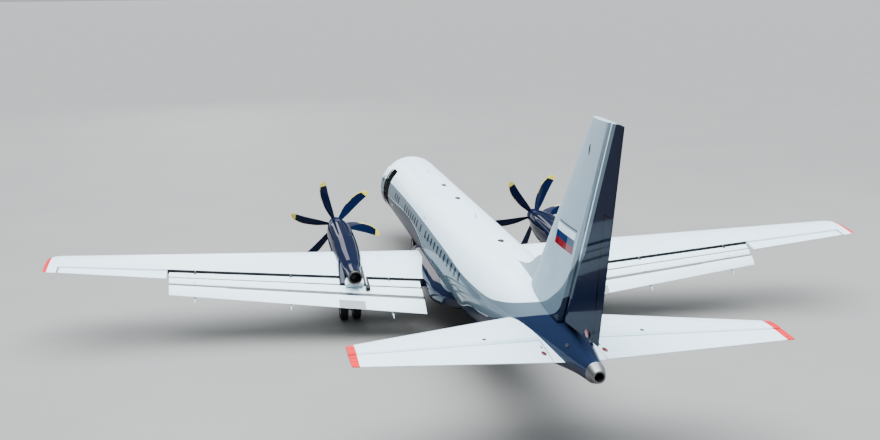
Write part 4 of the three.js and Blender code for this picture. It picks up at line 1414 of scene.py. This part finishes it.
def tail_marks():
    """Small fittings of the tail: lamps, lifting points, hinge covers, a drain and the static wicks."""
    up = Vector((0, 0, 1))
    bm = bmesh.new()
    for side in SIDES.values():
        on_sheet(bm, at(side * 2.13, 24.59, 3.33), up, 0.065, 0.06, 0.01, 4)
        for share in (0.3, 0.62, 0.9):
            x = mix(ELEVATOR_FROM, TAIL_HALF_SPAN, share)
            front, hinge, back, thickness = tail_at(x)
            radius = hinge_radius(front, hinge, back, thickness)
            cover = at(side * x, hinge[0] - radius - 0.1, hinge[1] - radius * 0.95)
            on_sheet(bm, cover, -up, 0.15, 0.03, 0.03, 0)
        front, hinge, back, thickness = fin_at(8.44)
        station, x = section_point(front, back, thickness, 0.333, side)
        on_sheet(bm, at(x, station, 8.44), Vector((side, 0, 0)), 0.15, 0.03, 0.014, 4, Vector((0, 0.2, 1)))
        on_sheet(bm, at(side * 0.33, 25.75, 3.5), Vector((side, 0, 0.6)).normalized(), 0.09, 0.05, 0.012, 4)
        block(bm, at(side * 0.76, 25.05, 3.2), (0.04, 0.22, 0.05), 0, 0.01)
    piece("tail_marks", bm, [SLOT_SHADE_AND_FITTING_GREY, ALUMINIUM, RED_GLASS, GREEN_GLASS, SEAL_AND_SLOT_SHADE], slot="bare_metal")

    bm = bmesh.new()
    for side in SIDES.values():
        lamp = at(side * 0.075, 26.39, 4.02)
        on_sheet(bm, lamp, Vector((side, 0, 0)), 0.1, 0.13, 0.03, 0, Vector((0, 0.15, 1)))
    for z in (4.6, 5.6, 6.6, 7.6, 8.6):
        station = fin_at(z)[2][0]
        wick(bm, at(0, station - 0.03, z), 0.01, 1)
    piece("rudder_marks", bm, [RED_GLASS, SEAL_AND_SLOT_SHADE], body="rudder", slot="bare_metal")
    for hand, side in SIDES.items():
        bm = bmesh.new()
        on_sheet(bm, at(side * 0.8, 25.42, 3.185), Vector((0, 0.08, 1)), 0.13, 0.065, 0.012, 0)
        for x in (3.4, 4.3, 5.2):
            station, z = tail_at(x)[2]
            wick(bm, at(side * x, station - 0.02, z), 0, 1)
        piece(f"elevator_marks_{hand}", bm, [RED_GLASS, SEAL_AND_SLOT_SHADE], body=f"elevator_{hand}", slot="bare_metal")
        bm = bmesh.new()
        for x in (11.6, 12.8, 14.0):
            station, z = wing_at(x)[1]
            wick(bm, at(side * x, station - 0.02, z), -0.005)
        piece(f"aileron_wicks_{hand}", bm, [SEAL_AND_SLOT_SHADE], body=f"aileron_{hand}", slot="bare_metal")


def wing_lamps():
    """A clear navigation lamp cover at each tip, coloured red to port and green to starboard, and a
    landing lamp window in each front edge."""
    for hand, side in SIDES.items():
        bm = bmesh.new()

        def cover(turn, run):
            x = mix(14.62, 14.9, turn)
            front, back, thickness = wing_at(x)
            angle = (run - 0.5) * 2
            share = 0.05 * angle * angle
            pull = 0.04 * ((x - TIP_FROM) / (HALF_SPAN - TIP_FROM)) ** 2 * (back[0] - front[0])
            face = 1 if angle > 0 else -1
            station, z = section_point((front[0] + pull, front[1]), back, thickness, share, face)
            return at(side * x, station - 0.003, z)

        plate(bm, 8, 12, cover, 0.004, finish=0)

        def window(turn, run):
            x = mix(8.05, 8.45, turn)
            angle = (run - 0.5) * 2
            station, z = section_point(*wing_at(x), 0.03 * angle * angle, 1 if angle > 0 else -1)
            return at(side * x, station - 0.003, z)

        plate(bm, 8, 12, window, 0.004, finish=1)
        tip_glass = RED_GLASS if side > 0 else GREEN_GLASS
        piece(f"wing_lamps_{hand}", bm, [tip_glass, LAMP_GLASS], slot="bare_metal")


# Nacelles and propellers


def nacelles():
    """Each cowl joined to the pod under it, with the chin intake and the wheel bay cut in."""
    for hand, side in SIDES.items():
        x = side * NACELLE_OFFSET
        shells = []
        for rows, squareness in ((COWL_ROWS, COWL_SQUARENESS), (POD_ROWS, POD_SQUARENESS)):
            bm = bmesh.new()
            hull_skin(bm, rows, 72, 50, x, squareness)
            shells.append(bm)
        made = piece(f"nacelle_skin_{hand}", shells[0], [NAVY_PAINT, SOOT_AND_SHADE_INSIDE, LINING],
                     replaces=[f"nacelle_{hand}"], slot="navy_paint")
        cut(made, shells[1], 0, "UNION")
        bay = bmesh.new()
        block(bay, at(x, MAIN_BAY_STATION, 1.2), (0.58, 0.9, 1.0), edge=0)
        cut(made, bay, 2)
        # the intake's walls are near black: painted shade inside it
        intake = bmesh.new()
        block(intake, at(x, 8.9, 2.11), (0.3, 0.9, 0.115), edge=0.03)
        cut(made, intake, 1)
        jet_pipe(hand, x)
        nacelle_fittings(hand, side)
        propeller(hand, x)


def jet_pipe(hand, x):
    """The pipe's fairing, and the bare nozzle that stands out of it."""
    bm = bmesh.new()
    hull_skin(bm, JET_PIPE_ROWS, 72, 24, x, COWL_SQUARENESS, capped=False)
    middle = at(x, PIPE_END, PIPE_HEIGHT)
    nozzle = [(0.0, 0.256), (0.0, 0.243), (0.085, 0.24), (0.09, 0.236), (0.09, 0.212), (0.085, 0.205),
              (-0.7, 0.19), (-0.7, 0.0)]
    turned(bm, nozzle, middle, (0, 1, 0), 64, finish=1)
    piece(f"jet_pipe_fairing_{hand}", bm, [NAVY_PAINT, EXHAUST_STEEL, SOOT_AND_SHADE_INSIDE],
          replaces=[f"jet_pipe_{hand}"], slot="bare_metal", outward=False)


def nacelle_fittings(hand, side):
    """Around the pipe's end: a pale saddle on the wing, a cooler's ramp and outlet inboard, a spill
    fairing outboard. Then the lip of the chin intake, and the drain mast under the pod."""
    bm = bmesh.new()
    # each row: station, x, height, half width, half height
    saddle = [(13.45, 4.3, 2.02, 0.40, 0.10), (14.2, 4.3, 1.985, 0.39, 0.09), (14.86, 4.3, 1.86, 0.33, 0.06)]
    boom(bm, saddle, 4, 0, side=side)
    ramp = [(12.9, 4.06, 2.36, 0.10, 0.16), (13.5, 4.02, 2.22, 0.11, 0.2), (14.1, 3.98, 2.02, 0.1, 0.18),
            (14.7, 3.94, 1.82, 0.06, 0.1)]
    boom(bm, ramp, 3, 2, side=side)
    rail = [(13.3, 3.97, 2.42, 0.012, 0.03), (14.0, 3.9, 2.14, 0.022, 0.1), (14.78, 3.865, 1.78, 0.02, 0.07)]
    boom(bm, rail, 4, 0, side=side)
    outlet = [(13.9, 3.83, 1.95, 0.05, 0.08), (14.5, 3.82, 1.8, 0.07, 0.075),
              (14.98, 3.84, 1.72, 0.08, 0.045)]
    boom(bm, outlet, 5, 1, side=side)
    spill = [(12.9, 4.56, 2.32, 0.10, 0.16), (13.5, 4.62, 2.2, 0.14, 0.2), (14.2, 4.66, 2.0, 0.15, 0.16),
             (14.72, 4.69, 1.84, 0.13, 0.08)]
    boom(bm, spill, 3.5, 2, side=side)
    piece(f"exhaust_saddle_{hand}", bm, [WING_PAINT, SEAL_AND_SLOT_SHADE, NAVY_PAINT], slot="white_paint")

    bm = bmesh.new()
    left, right, low, high, front = 4.15, 4.45, 2.0525, 2.1675, 8.7
    corners = [(left, low), (right, low), (right, high), (left, high)]
    for a, b in zip(corners, corners[1:] + corners[:1]):
        rod(bm, at(side * a[0], front, a[1]), at(side * b[0], front, b[1]), 0.014, 16)
    mast = [(12.25, 4.3, 1.30, 0.004, 0.04), (12.31, 4.3, 1.27, 0.011, 0.07), (12.4, 4.3, 1.25, 0.004, 0.05)]
    boom(bm, mast, 2, side=side)
    piece(f"nacelle_trim_{hand}", bm, [ALUMINIUM, NAVY_PAINT], slot="navy_paint")


# Blade: share of the reach, chord, pitch in degrees, sweep back, thickness
BLADE_ROWS = [
    (0.10, 0.190, 62, 0.0, 0.5),
    (0.20, 0.270, 52, 0.025, 0.3),
    (0.40, 0.370, 38, 0.045, 0.14),
    (0.65, 0.390, 28, 0.020, 0.09),
    (0.85, 0.340, 22, -0.060, 0.07),
    (0.96, 0.230, 20, -0.140, 0.06),
    (1.00, 0.090, 19, -0.190, 0.06),
]


def blade(bm, x, angle):
    """One swept blade, turned about the shaft from the top towards port."""
    outward = Vector((math.sin(angle), 0, math.cos(angle)))
    ahead = Vector((math.cos(angle), 0, -math.sin(angle)))

    def place(turn, run):
        share = mix(0.1, 1.0, run)
        chord, pitch, sweep, thickness = curve_row(BLADE_ROWS, share)
        back, rise = around_section((0, 0), (chord, 0), thickness, turn, 1)
        tilt = math.radians(pitch)
        forward = sweep + 0.45 * chord - back
        tangent = forward * math.cos(tilt) - rise * math.sin(tilt)
        axial = -forward * math.sin(tilt) - rise * math.cos(tilt)
        middle = at(x, SHAFT_STATION + axial, SHAFT_HEIGHT)
        return middle + outward * share * BLADE_REACH + ahead * tangent

    old = set(bm.faces)
    skin(bm, 28, 45, place)
    hub = at(x, SHAFT_STATION, SHAFT_HEIGHT)
    for face in bm.faces:
        if face in old:
            continue
        spot = face.calc_center_median() - hub
        share = min(max(spot.dot(outward) / BLADE_REACH, 0.1), 1.0)
        chord, pitch, sweep, thickness = curve_row(BLADE_ROWS, share)
        tilt = math.radians(pitch)
        forward = spot.dot(ahead) * math.cos(tilt) - spot.y * math.sin(tilt)
        from_edge = sweep + 0.45 * chord - forward
        if share > 0.9 or (share > 0.5 and from_edge < 0.03):
            face.material_index = 1


def propeller(hand, x):
    """Six blades on a spinner."""
    bm = bmesh.new()
    middle = at(x, SHAFT_STATION, SHAFT_HEIGHT)
    profile = [(-0.56, 0.0), (-0.555, 0.03), (-0.54, 0.06), (-0.49, 0.115), (-0.43, 0.165), (-0.34, 0.217),
               (-0.23, 0.26), (-0.1, 0.293), (0.06, 0.315), (0.245, 0.32), (0.25, 0.315), (0.25, 0.0)]
    turned(bm, profile, middle, (0, 1, 0), 64)
    for number in range(6):
        blade(bm, x, math.radians(FIRST_BLADE[hand] + 60 * number))
    piece(f"propeller_{hand}_blades", bm, [BLADE_PAINT, YELLOW_PAINT], body=f"propeller_{hand}",
          replaces=[f"propeller_{hand}"], slot="navy_paint")


# Landing gear


def wheel(bm, centre, radius, width, out):
    """A tyre with grooves on a forged rim. out is the way its outer face looks."""
    rim, half = radius * 0.55, width / 2
    tyre = [(-0.72, 0.54), (-0.9, 0.57), (-1.0, 0.74), (-0.96, 0.88), (-0.78, 0.97), (-0.56, 0.993),
            (-0.54, 0.978), (-0.46, 0.978), (-0.44, 0.997), (-0.16, 1.0), (-0.14, 0.985), (-0.06, 0.985),
            (-0.04, 1.0)]
    profile = [(a * half, r * radius) for a, r in tyre]
    profile += [(-a, r) for a, r in reversed(profile)]
    turned(bm, profile + profile[:1], centre, out, 72)
    outer = [(0.74, 1.0), (0.84, 0.99), (0.86, 0.95), (0.8, 0.9), (0.42, 0.84), (0.34, 0.7), (0.36, 0.42),
             (0.66, 0.36), (0.74, 0.3), (0.78, 0.22), (0.78, 0.0)]
    inner = [(-0.5, 0.0), (-0.5, 0.7), (-0.72, 0.86), (-0.84, 0.95), (-0.84, 0.99), (-0.74, 1.0)]
    hub = [(a * half, r * rim) for a, r in inner + outer]
    turned(bm, hub, centre, out, 72, finish=1)
    across = out.orthogonal().normalized()
    for number in range(10):
        spoke = Matrix.Rotation(math.tau * number / 10, 3, out) @ across
        seat = centre + spoke * rim * 0.55 + out * half * 0.33
        rod(bm, seat, seat + out * 0.022, rim * 0.045, 6, finish=2)
        hole = centre + spoke * rim * 0.84 + out * half * 0.37
        rod(bm, hole, hole + out * 0.006, rim * 0.05, 16, finish=3)


def wheel_pair(name, x, station, radius, width, spacing, axle):
    """Twin wheels on their axle, with the brake packs between them."""
    bm = bmesh.new()
    for face in (1, -1):
        centre = at(x + face * spacing / 2, station, radius)
        out = Vector((face, 0, 0))
        wheel(bm, centre, radius, width, out)
        packs = [(0.0, axle + 0.012), (0.02, radius * 0.4), (width * 0.2, radius * 0.42),
                 (width * 0.22, axle)]
        turned(bm, packs + packs[:1], centre - out * width * 0.46, out, 40, finish=2)
    rod(bm, at(x - spacing / 2, station, radius), at(x + spacing / 2, station, radius), axle, 32, finish=2)
    piece(name, bm, [TYRE, GEAR_ENAMEL, ALUMINIUM, SEAL_AND_SLOT_SHADE], body=name, replaces=[name], slot="tyre_rubber")


def strut(bm, x, station, low, high, radius):
    """An oleo's outer cylinder: forged steps, a gland nut and a filler cap."""
    rise = high - low
    profile = [(0.0, radius * 0.75), (0.0, radius * 0.98), (0.05, radius), (0.055, radius * 0.86),
               (rise * 0.3, radius * 0.86), (rise * 0.32, radius * 0.96), (rise * 0.38, radius * 0.96),
               (rise * 0.4, radius * 0.84), (rise * 0.82, radius * 0.84), (rise * 0.86, radius),
               (rise, radius), (rise, 0.0)]
    turned(bm, profile, at(x, station, low), (0, 0, 1), 40)


def collar(bm, middle, axis, length, bore, radius):
    """A bored collar with broken edges."""
    half, edge = length / 2, 0.008
    ring = [(-half, bore), (-half, radius - edge), (edge - half, radius), (half - edge, radius),
            (half, radius - edge), (half, bore)]
    turned(bm, ring + ring[:1], middle, axis, 40)


def scissor(bm, top, knee, foot, spread):
    """Torque links: two pairs of bars that meet at a pin."""
    for face in (1, -1):
        aside = Vector((face * spread, 0, 0))
        rod(bm, top + aside, knee + aside * 0.4, 0.02, 16)
        rod(bm, foot + aside, knee + aside * 0.4, 0.02, 16)
    for point, reach in ((top, spread * 1.3), (knee, spread * 0.8), (foot, spread * 1.3)):
        rod(bm, point - Vector((reach, 0, 0)), point + Vector((reach, 0, 0)), 0.014, 16, finish=1)


def pipe_run(bm, points, radius, finish):
    """A hard hydraulic line bent through points, clipped to what it follows."""
    for a, b in zip(points, points[1:]):
        rod(bm, a, b, radius, 12, finish=finish)
    for point in points[1:-1]:
        bmesh.ops.create_icosphere(bm, subdivisions=2, radius=radius, matrix=Matrix.Translation(point))


def bay_door(name, x, side, first, last, low, high, finish):
    """A gear door hanging open: a skin with rounded corners, ribs inside and two goose-neck hinges."""
    bm = bmesh.new()
    middle = (first + last) / 2
    block(bm, at(x, middle, (low + high) / 2), (0.016, last - first, high - low), edge=0.007)
    inward = -side * 0.012
    for share in (0.12, 0.37, 0.63, 0.88):
        station = mix(first, last, share)
        block(bm, at(x + inward, station, (low + high) / 2), (0.012, 0.03, (high - low) * 0.86), 1, 0.004)
    for share in (0.12, 0.88):
        z = mix(low, high, share)
        block(bm, at(x + inward, middle, z), (0.012, (last - first) * 0.9, 0.03), 1, 0.004)
    for share in (0.2, 0.8):
        station = mix(first, last, share)
        rod(bm, at(x + inward, station, high - 0.1), at(x + inward * 2.4, station, high + 0.07),
            0.014, 16, finish=1)
    piece(name, bm, [finish, GEAR_ENAMEL], replaces=[name], slot="navy_paint")


def bay_frames(name, x, station, foot, head, half_long, half_wide):
    """What shows inside a wheel bay: frames across its roof and down its walls, and a pipe along each
    wall."""
    bm = bmesh.new()
    for number in range(4):
        place = station + half_long * (number - 1.5) * 0.62
        block(bm, at(x, place, head - 0.02), (half_wide * 1.96, 0.025, 0.03), edge=0.004)
        for face in (1, -1):
            wall = x + face * (half_wide - 0.014)
            block(bm, at(wall, place, (head + foot) / 2), (0.022, 0.025, head - foot), edge=0.004)
    for face in (1, -1):
        middle = at(x + face * (half_wide - 0.035), station, head - 0.07)
        reach = Vector((0, half_long * 0.97, 0))
        rod(bm, middle - reach, middle + reach, 0.01, 12)
    piece(name, bm, [GEAR_ENAMEL], slot="bare_metal")


def landing_gear():
    """Wheels, legs, the nose fork, and the doors and frames of the bays."""
    wheel_pair("nose_wheels", 0, NOSE_WHEEL_STATION, NOSE_WHEEL_RADIUS, 0.18, 0.36, 0.032)
    for hand, side in SIDES.items():
        x = side * NACELLE_OFFSET
        station, brace = MAIN_LEG_STATION, 12.77
        wheel_pair(f"main_wheels_{hand}", x, station, MAIN_WHEEL_RADIUS, 0.3, 0.48, 0.045)
        bm = bmesh.new()
        strut(bm, x, station, 0.98, 1.699, 0.092)
        rod(bm, at(x, station, 0.5), at(x, station, 1.0), 0.056, 40, finish=1)
        collar(bm, at(x, station, MAIN_WHEEL_RADIUS), (1, 0, 0), 0.15, 0.053, 0.1)
        rod(bm, at(x, station, 0.5), at(x, station, 0.585), 0.072, 32, 0.06)
        rod(bm, at(x, station, 1.15), at(x, brace, 1.63), 0.036, 24)
        block(bm, at(x, brace, 1.65), (0.15, 0.09, 0.098), edge=0.012)
        rod(bm, at(x - 0.09, brace, 1.63), at(x + 0.09, brace, 1.63), 0.02, 16, finish=1)
        scissor(bm, at(x, station + 0.11, 1.01), at(x, station + 0.262, 0.79),
                at(x, station + 0.07, 0.58), 0.05)
        line = [at(x + side * 0.07, station - 0.05, 1.66), at(x + side * 0.09, station - 0.05, 1.2),
                at(x + side * 0.085, station - 0.04, 0.95), at(x + side * 0.06, station - 0.07, 0.75),
                at(x + side * 0.065, station - 0.06, 0.53)]
        pipe_run(bm, line, 0.009, 2)
        piece(f"main_leg_fittings_{hand}", bm, [GEAR_ENAMEL, CHROME, SEAL_AND_SLOT_SHADE], replaces=[f"main_leg_{hand}"],
              slot="bare_metal")
        bay_frames(f"main_bay_frames_{hand}", x, MAIN_BAY_STATION, 1.42, 1.7, 0.45, 0.29)
        bay_door(f"main_gear_door_{hand}", x + side * 0.32, side, 12.76, 13.54, 0.915, 1.318, NAVY_PAINT)
        bay_door(f"nose_gear_door_{hand}", side * 0.296, side, 2.98, 4.52, 0.885, 1.328, FUSELAGE_PAINT)

    bay_frames("nose_bay_frames", 0, NOSE_BAY_STATION, 1.37, 1.58, 0.85, 0.28)
    bm = bmesh.new()
    station, brace = NOSE_LEG_STATION, 3.2
    strut(bm, 0, station, 0.9, 1.579, 0.075)
    rod(bm, at(0, station, 1.08), at(0, brace, 1.52), 0.032, 24)
    block(bm, at(0, brace, 1.53), (0.22, 0.09, 0.098), edge=0.012)
    rod(bm, at(-0.12, brace, 1.52), at(0.12, brace, 1.52), 0.018, 16, finish=1)
    lamp = [(0.0, 0.0), (0.0, 0.05), (0.05, 0.083), (0.075, 0.085), (0.08, 0.078), (0.07, 0.074)]
    seat = at(0, 3.93, 1.01)
    turned(bm, lamp, seat, (0, -1, 0), 40, finish=1)
    turned(bm, [(0.068, 0.074), (0.072, 0.05), (0.075, 0.0)], seat, (0, -1, 0), 40, finish=3)
    rod(bm, at(0, 3.99, 1.01), at(0, 3.92, 1.01), 0.02, 16)
    pipe_run(bm, [at(0.06, 3.96, 1.55), at(0.07, 3.95, 1.2), at(0.066, 3.95, 0.93)], 0.008, 2)
    piece("nose_leg_fittings", bm, [GEAR_ENAMEL, CHROME, SEAL_AND_SLOT_SHADE, LAMP_GLASS], replaces=["nose_leg"],
          slot="bare_metal")
    bm = bmesh.new()
    axle = NOSE_WHEEL_RADIUS
    collar(bm, at(0, station, 0.827), (0, 0, 1), 0.13, 0.045, 0.082)
    rod(bm, at(0, station, 0.37), at(0, station, 0.84), 0.047, 40, finish=1)
    collar(bm, at(0, NOSE_WHEEL_STATION, axle), (1, 0, 0), 0.15, 0.04, 0.077)
    block(bm, at(0, 3.965, axle), (0.12, 0.17, 0.11), edge=0.012)
    rod(bm, at(-0.075, 3.905, axle), at(0.075, 3.905, axle), 0.02, 16, finish=1)
    scissor(bm, at(0, 4.06, 0.83), at(0, 4.178, 0.56), at(0, 4.09, 0.39), 0.035)
    piece("nose_fork_fittings", bm, [GEAR_ENAMEL, CHROME], body="nose_fork", replaces=["nose_fork"],
          slot="bare_metal")


camera()
floor()
lights()
fuselage_skins()
cabin_windows()
cockpit()
hatches()
antennas()
entry_door()
fairing()
wings()
wing_lamps()
tail()
tail_marks()
nacelles()
landing_gear()

for name in ("engine_port", "engine_starboard"):
    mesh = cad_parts[name].data
    mesh.materials.clear()
    mesh.materials.append(ENGINE_METAL)
